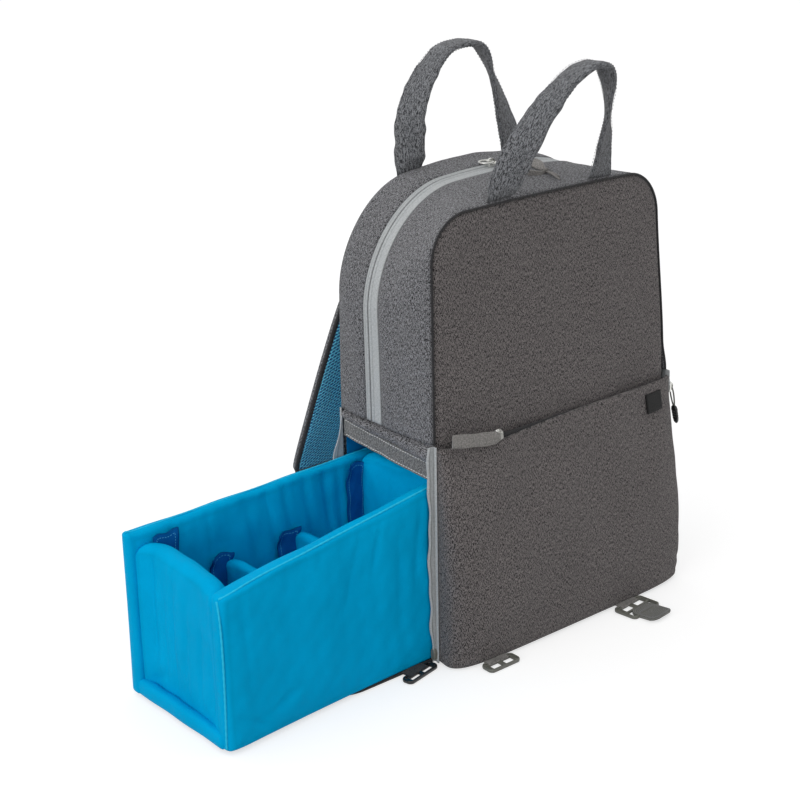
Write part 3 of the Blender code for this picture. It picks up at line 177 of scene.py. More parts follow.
def through(y, front, mid, rear):
    """The parabola through a size's values at the front seam, the zip and the rear seam."""
    a, b, c = FRONT_SEAM_Y, COIL_Y, REAR_SEAM_Y
    return (
        front * (y - b) * (y - c) / ((a - b) * (a - c)) + mid * (y - a) * (y - c) / ((b - a) * (b - c))
        + rear * (y - a) * (y - b) / ((c - a) * (c - b))
    )


def rise_share(z):
    """How far up the upper body a height is: 0 at the shoulder and 1 at the front's top."""
    return smoothstep((z - SHOULDER_Z) / (FRONT_TOP_Z - SHOULDER_Z))


def leaning(y, z):
    """The upper body leans back, most at the front seam and not at all at the rear seam."""
    return y + FRONT_LEAN * rise_share(z) * (REAR_SEAM_Y - y) / (REAR_SEAM_Y - FRONT_SEAM_Y)


def arch(y, count, inset=0.0, foot=FOOT_Z):
    """X and Z round the body at one depth: side, round shoulder, crowned top, and down again."""
    half, corner, top = (through(y, *sizes) - inset for sizes in (HALF_WIDTHS, SHOULDER_RADII, TOPS))
    turn = np.linspace(PI, PI / 2, 40, endpoint=False)
    side_z = np.linspace(foot, top - corner, 60, endpoint=False)
    left_x = np.concatenate([np.full(60, -half), corner - half + corner * np.cos(turn)])
    left_z = np.concatenate([side_z, top - corner + corner * np.sin(turn)])
    flat = np.linspace(corner - half, half - corner, 61)
    x = np.concatenate([left_x, flat, -left_x[::-1]])
    z = np.concatenate([left_z, np.full(61, top), left_z[::-1]])
    z = z + through(y, *CROWNS) * (1 - (x / half) ** 2) * smoothstep((z - foot) / 0.03)
    x = x * (1 - through(y, *TAPERS) * rise_share(z))
    tuck = RIGHT_FRONT_TUCK * (x > 0) * smoothstep(x / half)
    x = x - tuck * smoothstep((z - foot) / 0.03) * smoothstep((COIL_Y - y) / 0.05)
    return even_steps(np.stack([x, z], axis=1), count)


def pocket_section(z_share, inset, columns):
    """The pocket's wall in plan at a share of its height: a squared-off bow."""
    depth_share = bend_through(
        z_share, (0, 0.02, 0.06, 0.25, 0.5, 0.75, 1), (0.92, 0.96, 0.99, 1.0, 0.93, 0.72, 0.36)
    )
    flare_share = bend_through(z_share, (0, 0.15, 0.5, 1), (0.75, 1.0, 0.6, 0.0))
    angle = np.linspace(PI, 0, columns)
    half = HALF_WIDTH - inset + 0.005 * flare_share * np.sqrt(np.abs(np.sin(angle)))
    round_share = smoothstep((z_share - 0.40) / 0.4) * (np.cos(angle) > 0)
    half = half - 0.0035 * round_share
    x = half * signed_power(np.cos(angle), 1 / 3 + 0.16 * round_share)
    y = POCKET_REAR_Y - (POCKET_DEPTH * depth_share - inset) * np.abs(np.sin(angle)) ** (1.6 / 3 + 0.30 * round_share)
    return even_steps(np.stack([x, y], axis=1), columns)


def rim_distance(u, v, wide, high):
    """Distance to the nearest edge of a `wide` by `high` sheet, from its two shares."""
    return np.minimum(np.minimum(u, 1 - u) * wide, np.minimum(v, 1 - v) * high)


# ---------------------------------------------------------------- mesh helpers

def add_piece(name, verts, faces, face_uv, look, body="bag", node=None, slot=None,
              smooth_deg=180.0, recalc=True, seam=None):
    """Puts arrays into a mesh object at the origin, hangs it under its body and hides the CAD node it stands for."""
    mesh = bpy.data.meshes.new(name)
    mesh.from_pydata(np.asarray(verts).tolist(), [], [list(map(int, f)) for f in faces])
    layer = mesh.uv_layers.new(name="UVMap")
    layer.data.foreach_set("uv", np.concatenate([np.asarray(u, float).ravel() for u in face_uv]))
    # The seam shade mask is painted shade along seams, rims and dips: the materials darken where it is 1.
    if seam is not None:
        shade_mask = mesh.attributes.new("seam", "FLOAT", "POINT")
        shade_mask.data.foreach_set("value", np.asarray(seam, np.float32).ravel())
    if recalc:
        work = bmesh.new()
        work.from_mesh(mesh)
        bmesh.ops.remove_doubles(work, verts=work.verts, dist=1e-6)
        bmesh.ops.recalc_face_normals(work, faces=work.faces)
        work.to_mesh(mesh)
        work.free()
    mesh.shade_smooth()
    if smooth_deg < 180:
        mesh.set_sharp_from_angle(angle=math.radians(smooth_deg))
    mesh.materials.append(look)
    obj = bpy.data.objects.new(name, mesh)
    bpy.context.scene.collection.objects.link(obj)
    if body:
        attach(obj, body)
    if node:
        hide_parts(node)
    return obj


def grid_quads(rows, cols, wrap_rows=False, wrap_cols=False):
    """Vertex numbers and unwrapped grid places of every quad of a grid."""
    i, j = np.meshgrid(
        np.arange(rows if wrap_rows else rows - 1), np.arange(cols if wrap_cols else cols - 1), indexing="ij"
    )
    i, j = i.ravel(), j.ravel()
    ci = np.stack([i, i, i + 1, i + 1], axis=1)
    cj = np.stack([j, j + 1, j + 1, j], axis=1)
    return (ci % rows) * cols + cj % cols, ci, cj


def grid_uv(grid, wrap_cols=False):
    """Length along each row and down each column, in metres, for an even weave."""
    closed = np.concatenate([grid, grid[:, :1]], axis=1) if wrap_cols else grid
    u = path_length(closed[len(closed) // 2])
    v = path_length(closed[:, closed.shape[1] // 2])
    return np.stack(np.meshgrid(u, v), axis=-1)


def shell(name, outer, inner, look, body="bag", node=None, uv=None, seam=None, **kw):
    """A closed sheet between two like grids, its four edges closed by strips."""
    rows, cols = outer.shape[:2]
    uv = grid_uv(outer) if uv is None else uv
    quads, ci, cj = grid_quads(rows, cols)
    quad_uv = uv[ci, cj]
    n = rows * cols
    faces = [quads, quads[:, ::-1] + n]
    uvs = [quad_uv, quad_uv[:, ::-1]]
    index = np.arange(n).reshape(rows, cols)
    for edge, edge_uv in (
        (index[0], uv[0]), (index[-1][::-1], uv[-1][::-1]),
        (index[:, 0][::-1], uv[:, 0][::-1]), (index[:, -1], uv[:, -1]),
    ):
        a, b = edge[:-1], edge[1:]
        faces.append(np.stack([a, a + n, b + n, b], axis=1))
        uvs.append(np.stack([edge_uv[:-1], edge_uv[:-1], edge_uv[1:], edge_uv[1:]], axis=1))
    shade_mask = None if seam is None else np.concatenate([seam.ravel(), seam.ravel()])
    verts = np.concatenate([outer.reshape(-1, 3), inner.reshape(-1, 3)])
    return add_piece(name, verts, np.concatenate(faces), np.concatenate(uvs), look, body, node, seam=shade_mask, **kw)


def tube(name, loops, look, body="bag", node=None, closed=False, **kw):
    """A closed body through like loops of points; open runs get flat caps."""
    count, sides = loops.shape[:2]
    uv = grid_uv(loops, wrap_cols=True)
    if closed:
        uv = np.concatenate([uv, uv[-1:] + (uv[-1:] - uv[-2:-1])], axis=0)
    quads, ci, cj = grid_quads(count, sides, closed, True)
    faces = list(quads)
    uvs = [uv[ci, cj]]
    if not closed:
        faces += [np.arange(sides)[::-1], np.arange(sides) + (count - 1) * sides]
        uvs += [np.tile(uv[0, 0], (sides, 1)), np.tile(uv[-1, 0], (sides, 1))]
    return add_piece(name, loops.reshape(-1, 3), faces, uvs, look, body, node, **kw)


def panel_rings(outline, rings=26):
    """Copies of an outline drawn towards its middle, closer together near the edge."""
    share = 1 - np.linspace(0, 1, rings) ** 1.35 * 0.995
    centre = (outline.min(axis=0) + outline.max(axis=0)) / 2
    return centre + (outline - centre)[None] * share[:, None, None], share


def plate(name, outer, inner, look, node, flat_axes=(0, 2), **kw):
    """A closed plate between two sets of nested rings: each ends in a middle face, and a rim joins them."""
    count, n = outer.shape[:2]
    total = count * n
    quads, _, _ = grid_quads(count, n, False, True)
    first, last = np.arange(n), np.arange(n) + total - n
    after = np.roll(first, -1)
    rim = np.stack([first, first + total, after + total, after], axis=1)
    faces = [*quads, *(quads[:, ::-1] + total), last[::-1], last + total, *rim]
    verts = np.concatenate([outer.reshape(-1, 3), inner.reshape(-1, 3)])
    return add_piece(name, verts, faces, [verts[f][:, flat_axes] for f in faces], look, node=node, **kw)


def band_frame(path, across):
    """A flat band's width direction, square to its path, and the normal of its face."""
    across = np.broadcast_to(np.array(across, float), path.shape)
    tangent = unit(np.gradient(path, axis=0))
    side = unit(across - (across * tangent).sum(axis=1, keepdims=True) * tangent)
    return side, np.cross(tangent, side)


def flat_band_loops(path, across, width, thick, edge=0.9, sides=28, face=None):
    """Sections of a flat band: a stretched circle whose flat faces may carry a relief.

    `face` gives the relief in metres for places from -1 to 1 across the width.
    """
    side, normal = band_frame(path, across)
    t = (np.arange(sides) + 0.5) * TAU / sides
    a = signed_power(np.cos(t), 0.35)
    b = signed_power(np.sin(t), 1 - 0.55 * edge)
    half_w = np.broadcast_to(np.asarray(width, float) / 2, len(path))[:, None, None]
    half_t = np.broadcast_to(np.asarray(thick, float) / 2, len(path))[:, None, None]
    relief = 0.0 if face is None else (face(a) * np.sign(b) * (np.abs(b) > 0.6))[None, :, None]
    return (
        path[:, None] + side[:, None] * half_w * a[None, :, None]
        + normal[:, None] * (half_t * b[None, :, None] + relief)
    )


def round_loops(path, radius, sides=10, hint=(0.0, 0.0, 1.0)):
    """Sections of a round cord of one or a changing radius."""
    tangent = unit(np.gradient(path, axis=0))
    side = unit(np.cross(tangent, np.broadcast_to(np.array(hint, float), path.shape)))
    up = np.cross(side, tangent)
    c, s = circle(sides)
    size = np.broadcast_to(np.asarray(radius, float), len(path))[:, None, None]
    return path[:, None] + size * (side[:, None] * c[None, :, None] + up[:, None] * s[None, :, None])


def ring_loops(centre, radius, wire, axis_a, axis_b, turns=40, sides=12):
    """Sections of a round wire bent into a ring in the plane of two unit directions."""
    c, s = circle(turns)
    out = c[:, None] * np.array(axis_a) + s[:, None] * np.array(axis_b)
    normal = np.cross(axis_a, axis_b)
    c, s = circle(sides)
    ring = out[:, None] * c[None, :, None] + normal[None, None] * s[None, :, None]
    return np.array(centre) + radius * out[:, None] + wire * ring


def stitches(name, lines, normals, look, body="bag", pitch=3.2 * MM, wide=0.55 * MM, lift=0.12 * MM, slot=None):
    """Rows of thread: each stitch is a short bead, high in the middle, whose ends dip into the cloth."""
    filled = 0.72
    blocks, faces, uvs, start = [], [], [], 0
    t = np.linspace(0, 1, 5)
    c, s = circle(6)
    quads, ci, cj = grid_quads(5, 6, False, True)
    for line, normal in zip(lines, normals):
        length = path_length(line)
        count = max(1, int(length[-1] / pitch))
        at = (np.arange(count)[:, None] + 0.5 + (t[None] - 0.5) * filled) * (length[-1] / count)
        pos, out = (np.stack([np.interp(at, length, rows[:, k]) for k in range(3)], axis=-1) for rows in (line, normal))
        out = unit(out)
        side = unit(np.cross(unit(np.gradient(pos, axis=1)), out))
        bow = np.sin(PI * t)[None, :, None]
        thick = wide / 2 * (0.35 + 0.65 * bow)
        centre = pos + out * (lift * 2 * bow - lift)
        ring = (
            centre[:, :, None] + side[:, :, None] * thick[..., None] * c[None, None, :, None]
            + out[:, :, None] * (thick * 0.7)[..., None] * s[None, None, :, None]
        )
        blocks.append(ring.reshape(-1, 3))
        shift = start + np.arange(count)[:, None, None] * 30
        caps = np.stack([np.arange(6)[::-1], np.arange(6) + 24])
        faces += [*(quads[None] + shift).reshape(-1, 4), *(caps[None] + shift).reshape(-1, 6)]
        uvs.append(np.tile(np.stack([cj / 6.0, ci / 4.0], axis=-1)[None], (count, 1, 1, 1)).reshape(-1, 2))
        uvs.append(np.zeros((count * 12, 2)))
        start += count * 30
    return add_piece(name, np.concatenate(blocks), faces, uvs, look, body, slot=slot, recalc=False)


def box_grid(low, high, radius, cells):
    """A box whose edges and corners are balls and rods of one radius, cut into an even grid of quads.

    Each point of the plain box is drawn to the core box, then pushed out by the radius.
    """
    low, high = np.array(low, float), np.array(high, float)
    verts, faces, uvs, start = [], [], [], 0
    for axis in range(3):
        a, b = [k for k in range(3) if k != axis]
        for end in (low, high):
            shares = [edge_bunched(cells[k], radius / (high[k] - low[k])) for k in (a, b)]
            ga, gb = np.meshgrid(*shares, indexing="ij")
            flat = np.zeros(ga.shape + (3,))
            flat[..., a] = low[a] + (high[a] - low[a]) * ga
            flat[..., b] = low[b] + (high[b] - low[b]) * gb
            flat[..., axis] = end[axis]
            core = np.clip(flat, low + radius, high - radius)
            quads, ci, cj = grid_quads(*ga.shape)
            verts.append((core + radius * unit(flat - core)).reshape(-1, 3))
            faces.append(quads + start)
            uvs.append(flat[ci, cj][..., [a, b]] + 0.37 * axis)
            start += ga.size
    return np.concatenate(verts), np.concatenate(faces), np.concatenate(uvs)


def edge_bunched(cells, margin):
    """Shares from 0 to 1 with extra steps inside the rounded margins."""
    margin = min(max(margin, 0.001), 0.49)
    rim = np.array([0.0, 0.25, 0.5, 0.75]) * margin
    return np.concatenate([rim, np.linspace(margin, 1 - margin, cells), 1 - rim[::-1]])


# ---------------------------------------------------------------- shader helpers

def put(tree, kind, inputs=(), **props):
    """Adds a node with its properties, and links or sets its inputs."""
    made = tree.nodes.new(kind)
    for key, value in props.items():
        setattr(made, key, value)
    for key, value in dict(inputs).items():
        if isinstance(value, bpy.types.NodeSocket):
            tree.links.new(value, made.inputs[key])
        else:
            made.inputs[key].default_value = value
    return made


def maths(tree, operation, a, b=0.0, c=0.0, clamp=False):
    """A maths node's output."""
    return put(tree, "ShaderNodeMath", {0: a, 1: b, 2: c}, operation=operation, use_clamp=clamp).outputs[0]


def noise(tree, place, scale, detail, roughness):
    """A noise texture's value at a place."""
    inputs = {"Vector": place, "Scale": scale, "Detail": detail, "Roughness": roughness}
    return put(tree, "ShaderNodeTexNoise", inputs).outputs[0]


def mix_color(tree, share, a, b, blend="MIX"):
    """A colour between two, by share."""
    made = put(tree, "ShaderNodeMix", {0: share, 6: a, 7: b}, data_type="RGBA", blend_type=blend)
    return made.outputs[2]


def new_group(name, sockets_in, sockets_out):
    """A shader node group with named inputs and outputs."""
    tree = bpy.data.node_groups.new(name, "ShaderNodeTree")
    kinds = {"f": "NodeSocketFloat", "v": "NodeSocketVector", "c": "NodeSocketColor"}
    for label, kind, value in sockets_in:
        made = tree.interface.new_socket(name=label, in_out="INPUT", socket_type=kinds[kind])
        made.default_value = value
    for label, kind in sockets_out:
        tree.interface.new_socket(name=label, in_out="OUTPUT", socket_type=kinds[kind])
    return tree, tree.nodes.new("NodeGroupInput"), tree.nodes.new("NodeGroupOutput")


def weave_group():
    """Plain weave: where the cell count is even the warp is on top, elsewhere the weft.

    Height is the top thread's rounded profile. Tone follows each thread, so single
    threads are lighter or darker along a few millimetres, as in a heather yarn.
    """
    tree, ins, outs = new_group(
        "plain_weave",
        (("Vector", "v", (0, 0, 0)), ("Pitch", "f", 0.0006), ("Slub", "f", 6.0)),
        (("Height", "f"), ("Tone", "f")),
    )
    pitch = put(tree, "ShaderNodeCombineXYZ", {0: ins.outputs[1], 1: ins.outputs[1], 2: 1.0}).outputs[0]
    cell = put(tree, "ShaderNodeVectorMath", {0: ins.outputs[0], 1: pitch}, operation="DIVIDE").outputs[0]
    parts = put(tree, "ShaderNodeSeparateXYZ", {0: cell})
    x, y = parts.outputs[0], parts.outputs[1]
    fx, fy = maths(tree, "FRACT", x), maths(tree, "FRACT", y)
    count = maths(tree, "ADD", maths(tree, "FLOOR", x), maths(tree, "FLOOR", y))
    even = maths(tree, "LESS_THAN", maths(tree, "FLOORED_MODULO", count, 2.0), 0.5)
    hump_x = maths(tree, "SINE", maths(tree, "MULTIPLY", fx, PI))
    hump_y = maths(tree, "SINE", maths(tree, "MULTIPLY", fy, PI))
    warp = maths(tree, "MULTIPLY", hump_x, maths(tree, "MULTIPLY_ADD", hump_y, 0.45, 0.55))
    weft = maths(tree, "MULTIPLY", hump_y, maths(tree, "MULTIPLY_ADD", hump_x, 0.45, 0.55))
    height = put(tree, "ShaderNodeMix", {0: even, 2: weft, 3: warp}).outputs[0]
    slub = maths(tree, "DIVIDE", 1.0, ins.outputs[2])
    tones = []
    for sx, sy in ((1.0, slub), (slub, 1.0)):
        stretch = put(tree, "ShaderNodeCombineXYZ", {0: sx, 1: sy, 2: 1.0}).outputs[0]
        place = put(tree, "ShaderNodeVectorMath", {0: cell, 1: stretch}, operation="MULTIPLY").outputs[0]
        tones.append(noise(tree, place, 0.9, 1.0, 0.5))
    tone = put(tree, "ShaderNodeMix", {0: even, 2: tones[1], 3: tones[0]}).outputs[0]
    blurred = maths(tree, "MULTIPLY", maths(tree, "ADD", tones[0], tones[1]), 0.5)
    tone = maths(tree, "MULTIPLY_ADD", tone, 0.5, maths(tree, "MULTIPLY", blurred, 0.5))
    tree.links.new(height, outs.inputs[0])
    tree.links.new(tone, outs.inputs[1])
    return tree


def cloud_group():
    """Slow change over a piece, from -1 to 1: soft noise, for fading, dirt and uneven dye."""
    tree, ins, outs = new_group("slow_change", (("Vector", "v", (0, 0, 0)), ("Size", "f", 0.05)), (("Value", "f"),))
    scale = maths(tree, "DIVIDE", 1.0, ins.outputs[1])
    soft = noise(tree, ins.outputs[0], scale, 3.0, 0.55)
    tree.links.new(maths(tree, "MULTIPLY", maths(tree, "SUBTRACT", soft, 0.5), 2.6), outs.inputs[0])
    return tree


def rib_group():
    """Webbing: ribs across the strap with a fine zigzag, from two sine waves."""
    tree, ins, outs = new_group(
        "ribs", (("Vector", "v", (0, 0, 0)), ("Pitch", "f", 0.0016), ("Zigzag", "f", 0.5)), (("Height", "f"),)
    )
    parts = put(tree, "ShaderNodeSeparateXYZ", {0: ins.outputs[0]})
    turns = maths(tree, "DIVIDE", TAU, ins.outputs[1])
    fold = maths(tree, "MULTIPLY", maths(tree, "PINGPONG", parts.outputs[0], 0.0015), ins.outputs[2])
    along = maths(tree, "MULTIPLY", maths(tree, "ADD", parts.outputs[1], fold), turns)
    wave = maths(tree, "MULTIPLY_ADD", maths(tree, "SINE", along), 0.5, 0.5)
    tree.links.new(wave, outs.inputs[0])
    return tree


def mesh_group():
    """Spacer mesh: staggered rows of long oval holes on a slant.

    Hole is 1 inside a hole, and Height falls towards it.
    """
    tree, ins, outs = new_group(
        "spacer_mesh", (("Vector", "v", (0, 0, 0)), ("Pitch", "f", 0.0034)), (("Height", "f"), ("Hole", "f"))
    )
    across = maths(tree, "DIVIDE", 1.0, ins.outputs[1])
    slant = put(tree, "ShaderNodeVectorRotate", {"Vector": ins.outputs[0], "Angle": 0.62}, rotation_type="Z_AXIS")
    parts = put(tree, "ShaderNodeSeparateXYZ", {0: slant.outputs[0]})
    row = maths(tree, "MULTIPLY", parts.outputs[1], maths(tree, "MULTIPLY", across, 1.55))
    shift = maths(tree, "MULTIPLY", maths(tree, "FLOORED_MODULO", maths(tree, "FLOOR", row), 2.0), 0.5)
    column = maths(tree, "ADD", maths(tree, "MULTIPLY", parts.outputs[0], across), shift)
    dx = maths(tree, "MULTIPLY", maths(tree, "SUBTRACT", maths(tree, "FRACT", column), 0.5), 0.72)
    dy = maths(tree, "SUBTRACT", maths(tree, "FRACT", row), 0.5)
    far = maths(tree, "SQRT", maths(tree, "ADD", maths(tree, "MULTIPLY", dx, dx), maths(tree, "MULTIPLY", dy, dy)))
    height = put(tree, "ShaderNodeMapRange", {0: far, 1: 0.16, 2: 0.44}, interpolation_type="SMOOTHSTEP").outputs[0]
    tree.links.new(height, outs.inputs[0])
    tree.links.new(maths(tree, "SUBTRACT", 1.0, height), outs.inputs[1])
    return tree


def grain_group():
    """Fine moulded or brushed grain: noise stretched along one direction, from -1 to 1."""
    tree, ins, outs = new_group(
        "grain", (("Vector", "v", (0, 0, 0)), ("Size", "f", 0.0008), ("Stretch", "f", 1.0)), (("Value", "f"),)
    )
    scale = maths(tree, "DIVIDE", 1.0, ins.outputs[1])
    stretch = put(tree, "ShaderNodeCombineXYZ", {0: 1.0, 1: ins.outputs[2], 2: 1.0}).outputs[0]
    place = put(tree, "ShaderNodeVectorMath", {0: ins.outputs[0], 1: stretch}, operation="MULTIPLY").outputs[0]
    rough = noise(tree, place, scale, 2.0, 0.5)
    tree.links.new(maths(tree, "MULTIPLY", maths(tree, "SUBTRACT", rough, 0.5), 2.0), outs.inputs[0])
    return tree


GROUPS = {
    "weave": weave_group(), "cloud": cloud_group(), "ribs": rib_group(), "mesh": mesh_group(), "grain": grain_group(),
}


def use_group(tree, key, **inputs):
    """One of the shared groups, with its inputs linked or set by name."""
    return put(tree, "ShaderNodeGroup", inputs, node_tree=GROUPS[key])


def new_material(name, roughness=0.8, metallic=0.0, sheen=0.0, specular=0.5):
    """A material with its plain shader values."""
    made = bpy.data.materials.new(name)
    made.use_nodes = True
    tree = made.node_tree
    shader = tree.nodes["Principled BSDF"]
    for label, value in (
        ("Roughness", roughness), ("Metallic", metallic), ("Sheen Weight", sheen), ("Sheen Roughness", 0.5),
        ("Sheen Tint", (1, 1, 1, 1)), ("Specular IOR Level", specular),
    ):
        shader.inputs[label].default_value = value
    return made, tree, shader


def weave_place(tree):
    """The unwrapped place in metres, along the cloth and across it."""
    return put(tree, "ShaderNodeUVMap", uv_map="UVMap").outputs[0]


def slow_change(tree, size):
    """Slow change over a piece, about `size` metres long."""
    where = put(tree, "ShaderNodeTexCoord").outputs["Object"]
    return use_group(tree, "cloud", Vector=where, Size=size).outputs[0]


def fine_grain(tree, size, stretch):
    """Fine grain over a piece."""
    where = put(tree, "ShaderNodeTexCoord").outputs["Object"]
    return use_group(tree, "grain", Vector=where, Size=size, Stretch=stretch).outputs[0]


def thread_tone(tree, weave, gain, middle, clamp=False):
    """The weave's tone about a middle value."""
    return maths(tree, "MULTIPLY_ADD", maths(tree, "SUBTRACT", weave.outputs["Tone"], 0.5), gain, middle, clamp)


def flecked(tree, place, tone, across, down, amount, clamp=False):
    """Adds flecks `across` by `down` metres long to a tone."""
    stretch = put(tree, "ShaderNodeVectorMath", {0: place, 1: (1 / across, 1 / down, 1.0)}, operation="MULTIPLY")
    fleck = noise(tree, stretch.outputs[0], 1.0, 1.5, 0.6)
    return maths(tree, "MULTIPLY_ADD", maths(tree, "SUBTRACT", fleck, 0.5), amount, tone, clamp)


def fade_and_seam_shade_level(tree, size, shade, seam_dark):
    """Brightness of cloth: slow fading, and painted shade, darker by `seam_dark` where the seam shade mask is 1."""
    level = maths(tree, "MULTIPLY_ADD", slow_change(tree, size), shade, 1.0)
    seam = put(tree, "ShaderNodeAttribute", attribute_name="seam").outputs["Fac"]
    return maths(tree, "MULTIPLY", level, maths(tree, "MULTIPLY_ADD", seam, -seam_dark, 1.0))


def scaled(tree, color, level):
    """A colour made brighter or darker by a factor."""
    return put(tree, "ShaderNodeVectorMath", {0: color, "Scale": level}, operation="SCALE").outputs[0]


def rgb(r, g, b):
    """A colour given in the photograph's own 0 to 255 values, made linear."""
    v = np.array((r, g, b)) / 255
    lin = np.where(v <= 0.04045, v / 12.92, ((v + 0.055) / 1.055) ** 2.4)
    return (*map(float, lin), 1.0)


def add_bump(tree, shader, height, distance, strength=1.0, under=None):
    """Raises the shading by a height, over another bump where one is given."""
    inputs = {"Height": height, "Distance": distance, "Strength": strength}
    if under is not None:
        inputs["Normal"] = under
    bump = put(tree, "ShaderNodeBump", inputs)
    tree.links.new(bump.outputs[0], shader.inputs["Normal"])
    return bump.outputs[0]


def cloth_material(name, dark, light, pitch, shade=0.10, roughness=0.85, sheen=0.15, gain=2.2, flecks=7.4,
                   grains=((0.0006, 0.0024, 1.0), (0.0009, 0.0006, 1.0), (0.0030, 0.0060, 0.18))):
    """Woven cloth: thread tones between two colours, slow fading, painted shade by the seams and painted shade between
    the threads.
    """
    made, tree, shader = new_material(name, roughness, sheen=sheen, specular=0.3)
    place = weave_place(tree)
    weave = use_group(tree, "weave", Vector=place, Pitch=pitch, Slub=6.0)
    tone = thread_tone(tree, weave, gain, 0.5)
    for across, down, share in grains:
        tone = flecked(tree, place, tone, across, down, share * flecks)
    tone = maths(tree, "ADD", tone, 0.0, clamp=True)
    # Painted shade by the seams, over slow fading.
    level = fade_and_seam_shade_level(tree, 0.07, shade, 0.25)
    # Painted shade between the threads: the weave's low places come out darker.
    level = maths(tree, "MULTIPLY", level, maths(tree, "MULTIPLY_ADD", weave.outputs["Height"], 0.3, 0.8))
    tree.links.new(scaled(tree, mix_color(tree, tone, dark, light), level), shader.inputs["Base Color"])
    add_bump(tree, shader, weave.outputs["Height"], 0.00018)
    return made


def nylon_material(name, light, dark, roughness=0.42, shade=0.10):
    """Thin coated nylon: a very fine weave, soft sheen and slow change of tone."""
    made, tree, shader = new_material(name, roughness, specular=0.01)
    weave = use_group(tree, "weave", Vector=weave_place(tree), Pitch=0.00032, Slub=9.0)
    uneven = slow_change(tree, 0.006)
    tone = maths(tree, "MULTIPLY_ADD", uneven, 0.10, thread_tone(tree, weave, 1.1, 0.5, clamp=True), clamp=True)
    # Painted shade by the seams, over slow fading.
    level = fade_and_seam_shade_level(tree, 0.045, shade, 0.35)
    tree.links.new(scaled(tree, mix_color(tree, tone, dark, light), level), shader.inputs["Base Color"])
    tree.links.new(maths(tree, "MULTIPLY_ADD", uneven, 0.05, roughness), shader.inputs["Roughness"])
    soft = add_bump(tree, shader, uneven, 0.0004, 0.35)
    add_bump(tree, shader, weave.outputs["Height"], 0.00006, under=soft)
    return made


def rib_material(name, dark, light, pitch=0.0018, zigzag=0.3, bump=0.0003, flecks=0.6):
    """Webbing and zip tape: ribs with a fine thread weave, with painted shade between the ribs."""
    made, tree, shader = new_material(name, 0.7, sheen=0.15, specular=0.35)
    place = weave_place(tree)
    rib = use_group(tree, "ribs", Vector=place, Pitch=pitch, Zigzag=zigzag).outputs[0]
    weave = use_group(tree, "weave", Vector=place, Pitch=0.0005, Slub=5.0)
    # The tone follows the rib height: painted shade between the ribs.
    tone = thread_tone(tree, weave, 1.6, maths(tree, "MULTIPLY_ADD", rib, 0.55, 0.22))
    tone = flecked(tree, place, tone, 1 / 700, 1 / 700, flecks, clamp=True)
    # Painted shade by the seams and the zip's slit, over slow fading.
    level = fade_and_seam_shade_level(tree, 0.02, 0.07, 0.8)
    tree.links.new(scaled(tree, mix_color(tree, tone, dark, light), level), shader.inputs["Base Color"])
    soft = add_bump(tree, shader, weave.outputs["Height"], 0.0001)
    add_bump(tree, shader, rib, bump, under=soft)
    return made


def mesh_material(name, light, dark):
    """Spacer mesh: yarn tone on the ridges, and painted shade inside the holes."""
    made, tree, shader = new_material(name, 0.75, sheen=0.2, specular=0.3)
    place = weave_place(tree)
    net = use_group(tree, "mesh", Vector=place, Pitch=0.0042)
    weave = use_group(tree, "weave", Vector=place, Pitch=0.0006, Slub=3.0)
    # The tone follows the mesh's height: painted shade inside the holes.
    tone = thread_tone(tree, weave, 1.2, net.outputs["Height"], clamp=True)
    tree.links.new(mix_color(tree, tone, dark, light), shader.inputs["Base Color"])
    soft = add_bump(tree, shader, weave.outputs["Height"], 0.00012)
    add_bump(tree, shader, net.outputs["Height"], 0.0008, under=soft)
    return made


def hard_material(name, color, roughness, metallic=0.0, bump=0.00003, shade=0.12):
    """Moulded plastic or cast metal: fine grain, uneven gloss, and edges worn lighter."""
    made, tree, shader = new_material(name, roughness, metallic)
    grain, slow = fine_grain(tree, 0.0006, 1.0), slow_change(tree, 0.008)
    point = put(tree, "ShaderNodeNewGeometry").outputs["Pointiness"]
    edge = put(tree, "ShaderNodeMapRange", {0: point, 1: 0.52, 2: 0.62}).outputs[0]
    shaded = scaled(tree, color[:3], maths(tree, "MULTIPLY_ADD", slow, shade, 1.0))
    worn = tuple(min(1.0, c * 1.5 + 0.02) for c in color[:3]) + (1.0,)
    tree.links.new(mix_color(tree, maths(tree, "MULTIPLY", edge, 0.5), shaded, worn), shader.inputs["Base Color"])
    rough = maths(tree, "MULTIPLY_ADD", slow, 0.08, maths(tree, "MULTIPLY_ADD", grain, 0.06, roughness), clamp=True)
    tree.links.new(rough, shader.inputs["Roughness"])
    add_bump(tree, shader, grain, bump)
    return made


def thread_material(name, color):
    """Twisted thread: a fine ply over a plain tone."""
    made, tree, shader = new_material(name, 0.6, sheen=0.2)
    ply = fine_grain(tree, 0.0006, 3.0)
    tree.links.new(scaled(tree, color[:3], maths(tree, "MULTIPLY_ADD", ply, 0.2, 1.0)), shader.inputs["Base Color"])
    add_bump(tree, shader, ply, 0.00008)
    return made


